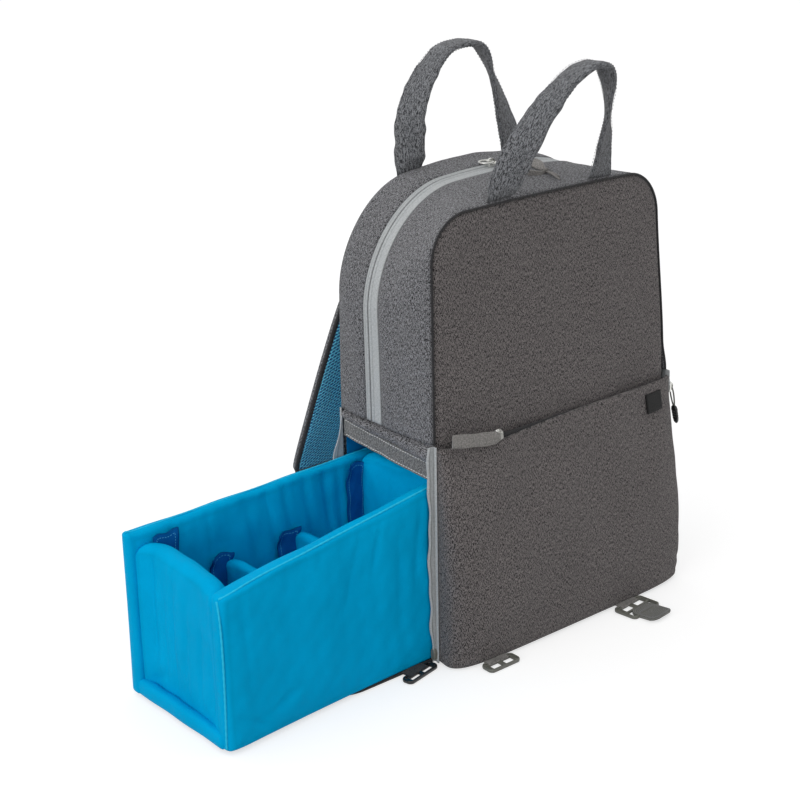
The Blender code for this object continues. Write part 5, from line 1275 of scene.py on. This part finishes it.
def make_handles():
    """Carry handles: doubled cloth with four rows of stitches, a little puckered along its edges."""
    plans = (
        ("front_handle", -20.0, FRONT_SEAM_Y + PIPING_R + 0.0027, (
            (-0.0590, 0), (-0.0460, 0.0480), (-0.0330, 0.0790), (-0.0150, 0.1050), (-0.0020, 0.1145),
            (0.0150, 0.1160), (0.0280, 0.1080), (0.0385, 0.0880), (0.0500, 0.0540), (0.0620, 0),
        )),
        ("rear_handle", 0.0, REAR_SEAM_Y - 0.0027, (
            (-0.0620, 0), (-0.0600, 0.0440), (-0.0490, 0.0720), (-0.0300, 0.0940), (-0.0150, 0.1020),
            (0.0080, 0.1030), (0.0220, 0.0975), (0.0310, 0.0820), (0.0440, 0.0520), (0.0620, 0),
        )),
    )
    for name, lean_deg, depth, route in plans:
        line = arch(depth, 300)
        seat = (0.0, leaning(depth, FRONT_TOP_Z), float(np.interp(0.045, line[:, 0], line[:, 1])))
        path, across, width, run = handle_line(route, lean_deg, seat)
        near = np.minimum(run, 1 - run)
        thick = 0.0008 + 0.0040 * smoothstep(near / 0.04)
        width = width * (0.95 + 0.020 * np.sin(run * 61) + 0.016 * np.sin(run * 97 + 1.0))
        rows = (-0.86, -0.58, 0.58, 0.86)

        def face(a):
            return -0.00075 * sum(bell((a - r) / 0.05) for r in rows) + 0.0003 * (1 - a**2)

        loops = flat_band_loops(path, across, width, thick, sides=56, face=face)
        for end in (0, -1):
            shift = np.interp(loops[end][:, 0], line[:, 0], line[:, 1]) - loops[end][:, 2] - 0.0006
            fade = np.exp(-np.arange(8) / 2.5)
            for k in range(8):
                loops[k if end == 0 else -1 - k, :, 2] += shift * fade[k]
        # Painted shade at the handle's two ends, where they meet the body.
        seam = np.repeat((np.exp(-(near / 0.012)) * 0.7)[:, None], loops.shape[1], axis=1)
        pucker = ripple(loops, 0.014, 0.0006, 61) + ripple(loops, 0.045, 0.0012, 62)
        outward = unit(loops - loops.mean(axis=1, keepdims=True))
        loops = loops + outward * (pucker * smoothstep(near / 0.05)[:, None])[..., None]
        tube(name + "_cloth", loops, HANDLE_CLOTH, name, name, seam=seam)
        band_stitches(name, path, across, width, thick, rows, near > 0.03)


def band_stitches(body, path, across, width, thick, rows, keep):
    """Rows of stitches on both faces of a flat band, at shares of its half width."""
    side, normal = band_frame(path, across)
    half_w, half_t = (width / 2)[:, None], (thick / 2)[:, None]
    lines, outs = [], []
    for face in (1, -1):
        for row in rows:
            lines.append((path + side * half_w * row + normal * face * (half_t - 0.0001))[keep])
            outs.append((normal * face)[keep])
    stitches(body + "_stitches", lines, outs, GREY_THREAD, body, pitch=3.4 * MM, wide=0.75 * MM, lift=0.25 * MM)


def make_straps():
    """Padded shoulder straps: cloth behind, a mesh face in front, bound edges; webbing below."""
    route = ((-0.0500, 0.0726, 0.3860), (-0.0540, 0.0795, 0.3620), (-0.0630, 0.0885, 0.3380), (-0.0820, 0.0960, 0.2950),
             (-0.1040, 0.1010, 0.2400), (-0.1160, 0.1110, 0.1900), (-0.1210, 0.1270, 0.1400), (-0.1215, 0.1330, 0.1200))
    level = (1.0, 0, 0)
    for side, label in ((1, "left"), (-1, "right")):
        path = smooth_path(route, 120) * (side, 1, 1)
        run = np.linspace(0, 1, len(path))
        ends = smoothstep(run / 0.03) * smoothstep((1 - run) / 0.03)
        width = 0.0585 * (0.9 + 0.1 * ends)
        thick = 0.0030 + 0.0072 * ends
        body = "shoulder_strap_" + label
        loops = flat_band_loops(path, level, width, thick, edge=0.55, sides=48)
        tube(body + "_core", loops, SIDE_CLOTH, body, body)
        flat, normal = band_frame(path, level)
        toward = normal * np.sign(-normal[60, 1])
        s = np.linspace(-0.88, 0.88, 40)[None, :, None]
        keep = slice(3, len(path) - 3)
        rise = np.clip(1 - np.abs(s / 0.9) ** 6, 0, 1) ** 0.5
        half_w, half_t = (size[keep, None, None] / 2 for size in (width, thick))
        top, base = (
            path[keep, None] + flat[keep, None] * (half_w * s) + toward[keep, None] * height
            for height in (half_t * 0.8 + 0.0013 * rise, half_t * 0.25)
        )
        shell(body + "_mesh", top, base, MESH, body)
        for sign, key in ((-1, "a"), (1, "b")):
            edge = path + flat * (sign * width / 2 * 0.955)[:, None] + toward * (thick / 2 * 0.55)[:, None]
            tube(body + "_binding_" + key, round_loops(edge[2:-2], 0.0019, 10, (0, 1, 0)), TRIM, body)
        coarse = smooth_path(route, 18) * (side, 1, 1)
        down = unit(coarse[-1] - coarse[-2])
        anchor = np.array((-side * 0.123, 0.0665, 0.030))
        web_end = coarse[-1] + down * 0.0318
        middle = (anchor + web_end) / 2 + np.array((0.0, 0.3, -0.5)) * 0.025
        web = smooth_path((anchor, anchor + np.array((0.0, 0.15, -0.5)) * 0.025, middle, web_end), 90)
        obj = tube("webbing_" + label, flat_band_loops(web, level, 0.025, 0.0018), BAND, None, "strap_webbing_" + label)
        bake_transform(obj)
        repaint(BLACK_PLASTIC, "strap_adjuster_" + label)


make_handles()
make_straps()


# ---------------------------------------------------------------- the padded insert

def draw_line(a, b, p, q, width, depth):
    """A soft crease: a trough round the segment p to q, fading out past its ends."""
    along = np.array(q, float) - np.array(p, float)
    length = np.linalg.norm(along)
    along = along / length
    da, db = a - p[0], b - p[1]
    t = (da * along[0] + db * along[1]) / length
    far = np.abs(-da * along[1] + db * along[0])
    return -depth * bell(far / width) * smoothstep((t + 0.25) / 0.5) * smoothstep((1.25 - t) / 0.5)


def with_slide(obj):
    """Gives an insert piece its own copy of its mesh."""
    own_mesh(obj)


def padded_blue(name, verts, faces, uvs, body, node, seam=None):
    """A padded piece of the insert in the blue nylon, with its own copy of its mesh."""
    obj = add_piece(name, verts, faces, uvs, BLUE, body, node, seam=seam)
    with_slide(obj)


def board(name, low, high, top, node, body, seed, creases=(), radius=0.0044, bend=None, reach=None):
    """An upright padded board: a round-edged box whose faces swell between its sewn edges.

    Its long direction is X or Y, whichever is larger. The top edge follows `top(share)`, the
    faces swell by a flat-topped bump, then soft waves and the listed creases are pressed in.
    `bend(share, up, rel)` moves a place across the board and `reach(share, up)` along it.
    """
    low, high = np.array(low, float), np.array(high, float)
    run = 0 if (high - low)[0] > (high - low)[1] else 1
    face = 1 - run
    cells = [6, 6, 70]
    cells[run] = int((high - low)[run] / 0.0021)
    verts, faces, uvs = box_grid(low, high, radius, cells)
    share = (verts[:, run] - low[run]) / (high[run] - low[run])
    up = (verts[:, 2] - low[2]) / (high[2] - low[2])
    span = (top(share) - low[2]) / (high[2] - low[2])
    rel = (verts[:, face] - (low[face] + high[face]) / 2) / ((high[face] - low[face]) / 2)
    far = rim_distance(share, up, (high - low)[run], high[2] - low[2])
    inside = np.clip(far / 0.03, 0, 1)
    a = verts[:, run]
    b = low[2] + (verts[:, 2] - low[2]) * span
    wave = ripple(verts * (1, 1, 0.45), 0.05, 0.0015, seed) + ripple(verts * (1, 1, 0.5), 0.018, 0.0005, seed + 1)
    pucker = 0.0004 * np.sin(a * TAU / 0.0115 + seed) * np.exp(-((high[2] - verts[:, 2]) / 0.012))
    push_out = (0.0016 * smoothstep(inside) ** 0.7 + (wave + pucker) * smoothstep(inside * 2.2)) * rel
    seen_face = smoothstep((-rel - 0.2) / 0.5)
    for crease in creases:
        push_out = push_out - draw_line(a, b, *crease) * seen_face
    verts = verts.copy()
    verts[:, face] += push_out
    if bend is not None:
        verts[:, face] += bend(share, up, rel)
    if reach is not None:
        verts[:, run] += reach(share, up)
    verts[:, 2] = b + 0.0004 * np.sin(share * 23 + seed) * smoothstep((up - 0.9) / 0.1)
    # Painted shade along a line 6.5 mm in from the edges of the board's broad faces, where the seam dips.
    rim = bell((np.minimum(far, 0.02) - 0.0065) / 0.0016) * (np.abs(rel) > 0.9)
    padded_blue(name, verts, faces, uvs, body, node, 0.22 * rim)


def seam_cord(name, x, y, z, radius):
    """A raised seam: a thin cord half sunk into the board's edge, a little uneven in thickness, in a lighter blue that
    paints a highlight along it.
    """
    line = np.stack([x, y, z], axis=1)
    line = even_steps(line, max(24, int(path_length(line)[-1] / 0.0016)))
    size = radius * (1 + 0.18 * np.sin(path_length(line) * TAU / 0.0065))
    hint = (0.1, 0.2, 1) if np.ptp(line[:, 2]) < 0.05 else (0.1, 1, 0)
    with_slide(tube(name, round_loops(line, size, 8, hint), BLUE_SEAM_HIGHLIGHT, "insert"))


def quarter_turn(distance, radius):
    """Falls from 1 at an end to 0 at `radius` from it, as a round corner does."""
    return 1 - np.sqrt(np.clip(1 - (1 - np.clip(distance / radius, 0, 1)) ** 2, 0, 1))


def bulge(up):
    """Half a sine wave: 0 at both ends and 1 in the middle."""
    return np.sin(PI * np.clip(up, 0, 1))


def front_top(s):
    """Height of the front wall's rim at a share of its length."""
    return bend_through(s, (0, 0.03, 0.36, 0.64, 0.87, 1.0), (0.1405, 0.1425, 0.1530, 0.1612, 0.1685, 0.1715))


def rear_top(s):
    """Height of the rear wall's rim at a share of its length."""
    return 0.1532 + 0.0108 * s + 0.0026 * np.exp(-s / 0.012)


def front_shift(s):
    """How far the front wall leans out at a share of its length: most at the insert's free end."""
    return -0.0072 * (1 - s) ** 1.3


def rear_shift(s):
    """The rear wall leans out as far as the front wall, the other way."""
    return -front_shift(s)


def make_insert():
    """The insert: its padded boards, its hook tabs and the raised seams of its walls."""
    x0, x1, rear_x0 = -0.3712, -0.1125, -0.3765

    def front_bend(s, up, rel):
        turn = quarter_turn(s * (x1 - x0), 0.021)
        puff = -0.0066 * (1 - s) ** 2.2 * (0.5 - 0.5 * rel)
        return front_shift(s) + puff + 0.0052 * turn * (0.5 - 0.5 * rel) - 0.0012 * bulge(up) * (1 - s) ** 3

    def rear_bend(s, up, rel):
        turn = quarter_turn(s * (x1 - x0), 0.010)
        fuller = (0.0018 + 0.0034 * (1 - up) ** 0.7) * (1 - s) ** 4 * (0.5 + 0.5 * rel)
        tucked = 0.0037 * smoothstep((s - 0.60) / 0.12) * (0.5 + 0.5 * rel) * bulge(up) ** 0.7
        return rear_shift(s) + fuller - tucked - 0.0035 * turn * (0.5 + 0.5 * rel) + 0.0008 * bulge(up) * (1 - s) ** 3

    board("insert_front_cloth", (x0, -0.0630, 0.0024), (x1, -0.0520, 0.17), front_top,
          "insert_front_wall", "insert", 71, creases=(
              ((-0.352, 0.128), (-0.347, 0.050), 0.0035, 0.0012), ((-0.160, 0.152), (-0.166, 0.085), 0.004, 0.0015),
              ((-0.185, 0.148), (-0.183, 0.060), 0.005, 0.0013), ((-0.205, 0.154), (-0.216, 0.110), 0.003, 0.0012),
              ((-0.335, 0.022), (-0.295, 0.036), 0.005, 0.0012), ((-0.358, 0.032), (-0.330, 0.012), 0.003, 0.0013),
              ((-0.228, 0.150), (-0.245, 0.090), 0.0035, 0.0010), ((-0.148, 0.150), (-0.147, 0.060), 0.0035, 0.0010),
          ), bend=front_bend, reach=lambda s, up: -0.0016 * bulge(up) * (1 - s) ** 8)
    board("insert_rear_cloth", (rear_x0, 0.0455, 0.0024), (x1, 0.0565, 0.16), rear_top,
          "insert_rear_wall", "insert", 75, creases=(
              ((-0.335, 0.148), (-0.330, 0.080), 0.004, 0.0016), ((-0.300, 0.150), (-0.296, 0.085), 0.004, 0.0011),
              ((-0.262, 0.153), (-0.250, 0.085), 0.005, 0.0019), ((-0.240, 0.153), (-0.232, 0.090), 0.0035, 0.0016),
              ((-0.222, 0.155), (-0.214, 0.095), 0.004, 0.0014), ((-0.200, 0.156), (-0.190, 0.090), 0.005, 0.0020),
              ((-0.178, 0.156), (-0.172, 0.085), 0.0035, 0.0017), ((-0.163, 0.156), (-0.160, 0.090), 0.004, 0.0012),
          ), bend=rear_bend, reach=lambda s, up: -0.0010 * (1 - bulge(up)) * (1 - s) ** 20)

    front_at = lambda x: -0.0520 + front_shift((x - x0) / (x1 - x0)) - 0.0002
    rear_at = lambda x: 0.0455 + rear_shift((x - rear_x0) / (x1 - rear_x0)) + 0.0002

    def outer_top(s):
        return bend_through(s, (0, 0.06, 0.16, 0.30, 0.50, 0.70, 0.86, 0.95, 1.0),
                            (0.1225, 0.1335, 0.1395, 0.1430, 0.1450, 0.1455, 0.1445, 0.1425, 0.1375))

    def end_bend(s, up, rel):
        near_front, near_rear = smoothstep((0.15 - s) / 0.15), smoothstep((s - 0.84) / 0.16)
        return -0.0064 * near_front - 0.0086 * near_rear + 0.0016 - 0.0014 * bulge(up) * bulge(s)

    board("insert_outer_cloth", (-0.3665, front_at(-0.362), 0.0060), (-0.3475, rear_at(-0.362) + 0.0035, 0.14),
          outer_top, "insert_outer_end", "insert", 79, creases=(
              ((0.036, 0.128), (0.036, 0.040), 0.0035, 0.0019), ((0.020, 0.126), (0.022, 0.030), 0.004, 0.0014),
              ((0.004, 0.120), (0.008, 0.030), 0.0035, 0.0018), ((-0.016, 0.110), (-0.010, 0.025), 0.004, 0.0016),
              ((-0.034, 0.100), (-0.030, 0.030), 0.003, 0.0014), ((-0.046, 0.085), (-0.046, 0.030), 0.003, 0.0013),
              ((0.046, 0.018), (0.022, 0.034), 0.004, 0.0012),
          ), radius=0.0088, bend=end_bend, reach=lambda s, up: -(0.0125 - 0.0075 * up**2) * (1 - s) ** 7)
    board("insert_inner_cloth", (-0.1380, front_at(-0.132), 0.0119), (-0.1255, rear_at(-0.132), 0.15),
          lambda s: bend_through(s, (0, 0.1, 0.5, 0.92, 1), (0.1680, 0.1715, 0.1690, 0.1650, 0.1600)),
          "insert_inner_end", "insert", 83, radius=0.0058)
    for key, x, height in (("outer", -0.2815, 0.1085), ("inner", -0.2090, 0.1120)):
        board("divider_" + key + "_cloth", (x - 0.005, front_at(x), 0.0119), (x + 0.005, rear_at(x), 0.1),
              lambda s, h=height: h - 0.004 * np.abs(2 * s - 1) ** 2.5, "divider_" + key, "divider_" + key,
              87 + int(-x * 100), radius=0.0046)
    make_insert_floor()
    for name, x, width, top, height, body, curl in (
        ("outer_end_tab", -0.3560, 0.0240, 0.1485, 0.070, "insert", 0.4),
        ("inner_end_tab", -0.1560, 0.0190, 0.1580, 0.070, "insert", 1.0),
        ("divider_outer_tab", -0.3025, 0.0215, 0.1125, 0.050, "divider_outer", 1.0),
        ("divider_inner_tab", -0.2330, 0.0230, 0.1140, 0.050, "divider_inner", 0.7),
    ):
        hook_tab(name, x, width, rear_at, top, height, body, curl)
    run = np.linspace(0.004, 0.995, 120)
    corner = 0.0044 * quarter_turn(run * (x1 - x0), 0.021)
    seam_cord("front_seam", x0 + (x1 - x0) * run, -0.0612 + front_shift(run) - 0.0055 * (1 - run) ** 2.2 + corner,
              front_top(run) - 0.0006, 0.0008)
    seam_cord("rear_seam", rear_x0 + (x1 - rear_x0) * run, 0.0510 + rear_shift(run), rear_top(run) + 0.0001, 0.0007)
    up = np.linspace(0.02, 0.985, 90)
    height = 0.0030 + (0.1400 - 0.0030) * up
    depth = bend_through(height, (0.003, 0.0545, 0.0906, 0.1115, 0.1289, 0.1429),
                         (-0.0715, -0.0745, -0.0750, -0.0742, -0.0722, -0.0690))
    seam_cord("front_end_seam", x0 + 0.0002 - 0.0006 * np.sin(PI * up), depth + 0.0008, height, 0.0009)


def hook_tab(node, x, width, wall_at, top, height, body, curl):
    """A stitched hook strip: flat on the wall, its corner by the board curled forward."""
    u, v = np.meshgrid(np.linspace(0, 1, 30), np.linspace(0, 1, 60))
    xx = x + width * u
    z = top - height * (1 - v) + (0.0010 * np.sin(u * 8 + x * 300) + 0.0022 * (u - 0.5)) * v
    corners = smoothstep((0.30 - u) / 0.3) + smoothstep((u - 0.78) / 0.22)
    lift = 0.0046 + 0.0040 * curl * corners * smoothstep((v - 0.78) / 0.22)
    lift = lift + 0.0007 * np.sin(v * 17 + x * 90) * smoothstep(np.abs(u - 0.5) / 0.4)
    outer = np.stack([xx, wall_at(xx) - lift - 0.0007, z], axis=-1)
    inner = np.stack([xx, wall_at(xx) - lift + 0.0010, z], axis=-1)
    rim = rim_distance(u, v, width, height)
    # Painted shade round the tab's rim.
    obj = shell(node + "_cloth", outer, inner, NAVY, body, node, seam=bell(rim / 0.0008))
    lines = []
    for a, b in (((0.86, 0.04), (0.86, 0.95)), ((0.86, 0.95), (0.12, 0.95)), ((0.12, 0.04), (0.12, 0.95))):
        t = np.linspace(0, 1, 60)
        i = np.clip((a[1] + (b[1] - a[1]) * t) * 59, 0, 58.999)
        j = np.clip((a[0] + (b[0] - a[0]) * t) * 29, 0, 28.999)
        i0, j0 = i.astype(int), j.astype(int)
        fi, fj = (i - i0)[:, None], (j - j0)[:, None]
        lines.append((outer[i0, j0] * (1 - fi) + outer[i0 + 1, j0] * fi) * (1 - fj)
                     + (outer[i0, j0 + 1] * (1 - fi) + outer[i0 + 1, j0 + 1] * fi) * fj)
    thread = stitches(node + "_thread", lines, [np.tile((0, -1.0, 0), (60, 1))] * 3, BLUE_THREAD, body,
                      pitch=2.6 * MM, wide=0.6 * MM)
    with_slide(obj)
    with_slide(thread)


def make_insert_floor():
    """The insert's base: a padded board between the walls, with a rounded roll past the outer end."""
    verts, faces, uvs = box_grid((-0.3765, -0.0517, 0.0022), (-0.1125, 0.0452, 0.0116), 0.0044, [110, 60, 5])
    x, y, z = verts.T
    lip = smoothstep((-0.3600 - x) / 0.010)
    wide = np.clip(1 - (x + 0.371) / 0.2585, 0, 1) ** 1.3
    verts = verts.copy()
    side = (y + 0.0033) / 0.0485
    verts[:, 1] = y + side * (0.0068 * wide + lip * 0.0100 * smoothstep((-0.3700 - x) / 0.004))
    tall = smoothstep((z - 0.0030) / 0.008)
    verts[:, 2] = z + (0.0060 + 0.0002 * np.sin(y * 210) + 0.014 * y) * lip * tall
    verts[:, 0] = x + lip * (0.0035 * (0.5 - side / 2) + 0.0003 * np.sin(y * 160))
    padded_blue("insert_floor_cloth", verts, faces, uvs, "insert", "insert_floor")


make_insert()


# ---------------------------------------------------------------- zip hardware, pulls and buckles

def finish_cad(look, *names):
    """Gives small CAD pieces a look and smooth faces with sharp edges."""
    repaint(look, *names)
    for name in names:
        mesh = frame["nodes"][name].data
        mesh.shade_smooth()
        mesh.set_sharp_from_angle(angle=math.radians(35))


def local_frame(place, turn_deg):
    """Turns (across, outward, height) on the ground into the model's frame, about a vertical axis."""
    t = math.radians(turn_deg)

    def world(points):
        points = np.asarray(points, float)
        across, out, up = points[..., 0], -points[..., 1], points[..., 2]
        return np.stack([place[0] + across * math.cos(t) - out * math.sin(t),
                         place[1] + across * math.sin(t) + out * math.cos(t), up], axis=-1)
    return world


def slab(name, outline, low, high, world, look, body, slot=None, round_by=0.0009, rise=None):
    """A moulded plate: an outline's rings pass from the foot over rounded rims to a nearly flat face."""
    centre = outline.mean(axis=0)
    size = np.linalg.norm(outline - centre, axis=1).mean()
    mid = (low + high) / 2
    turns = np.linspace(-PI / 2, PI / 2, 9)
    plan = [(1 - round_by * (1 - math.cos(angle)) / size, mid + (high - low) / 2 * math.sin(angle)) for angle in turns]
    loops = []
    for share, height in plan + [(0.7, high), (0.35, high), (0.05, high)]:
        ring = centre + (outline - centre) * share
        lift = 0.0 if rise is None else rise(ring)
        loops.append(np.column_stack([ring, np.full(len(ring), height) + lift]))
    return tube(name, world(np.array(loops)), look, body, slot=slot, smooth_deg=50)


def oblong(low, high, radius, steps=8):
    """A rectangle with round corners, as points in order."""
    turn = np.linspace(0, PI / 2, steps)
    out = []
    for k, (sx, sy) in enumerate(((-1, -1), (1, -1), (1, 1), (-1, 1))):
        x, y = (high if sx < 0 else low)[0], (high if sy < 0 else low)[1]
        c, s = np.cos(turn + k * PI / 2), np.sin(turn + k * PI / 2)
        out.append(np.stack([x + sx * radius + radius * c, y + sy * radius + radius * s], axis=1))
    return np.concatenate(out)


def frame_bar(name, line, wide, tall, world, look, body, closed=False):
    """A moulded bar of a buckle: an oval section, `wide` on the ground and `tall` upright, along a line."""
    line = np.array(line, float)
    step = np.roll(line, -1, axis=0) - np.roll(line, 1, axis=0) if closed else np.gradient(line, axis=0)
    way = unit(step[:, :2])
    side = np.stack([-way[:, 1], way[:, 0]], axis=1)
    c, s = circle(14)
    a = signed_power(c, 0.7) * wide / 2
    b = signed_power(s, 0.7) * tall / 2
    loops = np.zeros((len(line), 14, 3))
    loops[..., :2] = line[:, None, :2] + side[:, None] * a[None, :, None]
    loops[..., 2] = line[:, None, 2] + b[None]
    return tube(name, world(loops), look, body, closed=closed)


def buckle(node, place, turn_deg, length, look, half=0.018, tail=False):
    """A webbing buckle on the ground: a moulded ring, a bar before its slot and a post between its two windows."""
    world = local_frame(place, turn_deg)
    mid = 0.00175
    ring = oblong((-half + 0.0012, -0.0001), (half - 0.0012, length - 0.0023), 0.0034)
    ring = np.column_stack([ring, np.full(len(ring), mid)])
    rim = frame_bar(node + "_ring", ring, 0.0024, 0.0035, world, look, node, closed=True)
    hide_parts(node)
    strap = slab(node + "_strap", oblong((-0.0120, -0.0070), (0.0120, 0.0046), 0.0012), 0.0020, 0.0036, world,
                 TRIM if look is BLACK_PLASTIC else PULL_CLOTH, None, slot="band_grey")
    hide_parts(node + "_webbing")
    tuple(world((0.0, -0.0050, mid)))
    tuple(world((0.0, 0.0016, mid)))
    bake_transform(strap)
    across = np.linspace(-half + 0.0022, half - 0.0022, 12)
    far = 0.0118 if tail else length - 0.0032
    out = np.linspace(0.0034, far, 8)
    bars = [("bar", across, 0.0030, 0.0018, 0.0031)] + [("bar_far", across, 0.0125, 0.0022, 0.0031)] * tail
    bars += [("post", 0.0, out, 0.0044, 0.0029), ("cheek_a", -half + 0.0036, out, 0.0036, 0.0029),
             ("cheek_b", half - 0.0036, out, 0.0036, 0.0029)]
    for key, x, y, wide, tall in bars:
        line = np.stack(np.broadcast_arrays(x, y, mid), axis=1)
        frame_bar(node + "_" + key, line, wide, tall, world, look, node)
    if tail:
        rise = lambda ring: 0.0030 * np.clip((ring[:, 1] - length) / 0.017, 0, 1) ** 2
        pad = oblong((-0.0142, 0.0135), (0.0142, length + 0.0172), 0.0070)
        slab(node + "_tail", pad, 0.0002, 0.0034, world, TONGUE, node, rise=rise)
        edge = oblong((-0.0126, 0.0215), (0.0126, length + 0.0156), 0.0060, steps=10)
        line = world(np.column_stack([edge, 0.0035 + rise(edge)]))
        line = np.concatenate([line, line[:1]])
        stitches(node + "_beading", [line], [np.tile((0, 0, 1.0), (len(line), 1))], GREY_THREAD, node,
                 pitch=1.6 * MM, wide=0.9 * MM, lift=0.2 * MM, slot="grey_plastic")


def make_pocket_tab():
    """The pocket slider's woven tab: a doubled ribbed strip, crimped at its neck, its free end a little raised."""
    upright = (0.0, 0.17, 0.985)
    share = np.linspace(0, 1, 60)
    path = np.stack([
        -0.0875 - 0.0530 * share, -0.0861 - 0.0010 * np.sin(PI * share), 0.2052 + 0.0095 * share**1.15,
    ], axis=1)
    width = 0.0118 * (0.62 + 0.38 * smoothstep(share / 0.10)) * (1 - 0.04 * np.sin(share * 14))
    thick = 0.0017 + 0.0009 * bell((share - 0.03) / 0.03)
    loops = flat_band_loops(path, upright, width, thick, sides=30, face=lambda a: 0.00025 * np.cos(a * PI * 3.0))
    tube("pocket_tab_cloth", loops, PULL_CLOTH, "pocket_pull_tab", "pocket_pull_tab")
    t = np.linspace(0, 1, 14)
    neck = np.stack([-0.0838 - 0.0040 * t, np.full(14, -0.0858), np.full(14, 0.2052)], axis=1)
    loops = flat_band_loops(neck, upright, 0.0046 + 0.0022 * t, 0.0026, sides=20)
    tube("pocket_tab_crimp", loops, STEEL, "pocket_pull_tab")


def on_top(plan, above, steps):
    """A line over the body's top: places in plan, each a given height above the arch there."""
    line = smooth_path(np.column_stack([plan, above]), steps)
    drift = FRONT_LEAN / (REAR_SEAM_Y - FRONT_SEAM_Y)
    for k, (x, y, rise) in enumerate(line.copy()):
        outline = arch((y - drift * REAR_SEAM_Y) / (1 - drift), 200)
        line[k, 2] = rise + np.interp(x, outline[:, 0], outline[:, 1])
    return line


def make_top_pulls():
    """The ring pull of the left slider, and the folded cloth pull of the right one with its knotted end."""
    ring = ring_loops((-0.0082, 0.0183, 0.4151), 0.0061, 0.0009, (1.0, 0, 0), (0, 1.0, 0))
    tube("main_ring", ring, NICKEL, "main_pull_ring", "main_pull_ring", closed=True)
    ribbons = (
        ("upper", ((0.0238, 0.0140), (0.0242, 0.0000), (0.0236, -0.0140), (0.0212, -0.0265)),
         (0.0045, 0.0052, 0.0056, 0.0034), 0.0092, (0.80, 0.0, 0.60)),
        ("lower", ((0.0238, 0.0140), (0.0140, 0.0050), (0.0050, -0.0090), (0.0035, -0.0220), (0.0110, -0.0290),
                   (0.0212, -0.0270)),
         (0.0045, 0.0040, 0.0036, 0.0034, 0.0032, 0.0032), 0.0062, (-0.45, 0.0, 0.89)),
    )
    body = "main_pull_fabric"
    t = np.linspace(0, 1, 51)
    for label, plan, above, wide, across in ribbons:
        path = on_top(plan, above, 50)
        width = wide * (0.40 + 0.60 * smoothstep(t / 0.25)) * (1 - 0.60 * smoothstep((t - 0.72) / 0.28))
        obj = tube("main_pull_" + label, flat_band_loops(path, across, width, 0.0015, sides=24), PULL_CLOTH, body)
        if label == "upper":
            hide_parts(body)
            end = path[-1]
    turn = np.arange(60) * TAU / 60
    knot = end + np.stack([0.0023 * np.sin(turn) + 0.0007 * np.sin(3 * turn), 0.0016 * np.cos(turn),
                           0.0002 + 0.0015 * np.cos(2 * turn)], axis=1)
    tube("main_pull_knot", round_loops(knot, 0.0013, 10, (0.3, 1, 0.2)), PULL_CLOTH, body, closed=True)
    for label, plan in (
        ("a", ((0.0212, -0.0272), (0.0206, -0.0370), (0.0176, -0.0480))),
        ("b", ((0.0205, -0.0272), (0.0230, -0.0360), (0.0226, -0.0430))),
    ):
        tail = on_top(plan, (0.0036, 0.0034, 0.0031), 26)
        radius = 0.0011 * (1 - 0.2 * np.linspace(0, 1, 27))
        tube("main_pull_end_" + label, round_loops(tail, radius, 8), PULL_CLOTH, body)


def make_cord_pull():
    """The right door's pull: a cord loop through the slider and a moulded grip with three grooves."""
    body = "right_door_pull"
    swing = math.radians(14)
    hang = np.array((math.sin(swing), 0.0, -math.cos(swing)))
    pivot = np.array((0.1514, -0.06675, 0.1876))
    c, s = circle(48)
    drop = 0.0115 * (1 - c)
    wide = 0.0026 * s * (0.75 + 0.25 * c)
    loop = pivot + drop[:, None] * hang + wide[:, None] * np.array((0, 1.0, 0))
    loops = round_loops(loop, 0.00075, 8, (1.0, 0, 0.3))
    tube("door_cord", loops, GREY_PLASTIC, body, body, slot="black_plastic", closed=True)
    t = np.linspace(0, 1, 50)
    path = pivot + (0.0216 + 0.0195 * t)[:, None] * hang
    width = 0.0068 * np.interp(t, (0, 0.06, 0.2, 0.7, 0.92, 1.0), (0.45, 0.75, 0.98, 0.92, 0.6, 0.3))
    grooves = sum(bell((t - k) / 0.035) for k in (0.35, 0.5, 0.65))
    thick = 0.0032 * (1 - 0.22 * grooves) * np.interp(t, (0, 0.08, 0.9, 1), (0.6, 1, 0.9, 0.5))
    tube("door_grip", flat_band_loops(path, (0, 1.0, 0), width, thick, sides=24), BLACK_PLASTIC, body)


def make_hardware():
    """Sliders, buckles, tabs and pulls."""
    finish_cad(NICKEL, "main_slider_left", "main_slider_right", "pocket_slider", "right_door_slider")
    finish_cad(GREY_PLASTIC, "left_door_slider")
    buckle("left_buckle", (-0.1050, -0.1010), 0.0, 0.0152, GREY_PLASTIC)
    buckle("right_buckle", (0.0604, -0.1022), 7.0, 0.0262, GREY_PLASTIC, half=0.0200, tail=True)
    buckle("corner_buckle", (-0.1710, -0.0690), 12.0, 0.0120, BLACK_PLASTIC, half=0.0200)
    make_pocket_tab()
    make_top_pulls()
    make_cord_pull()


make_hardware()
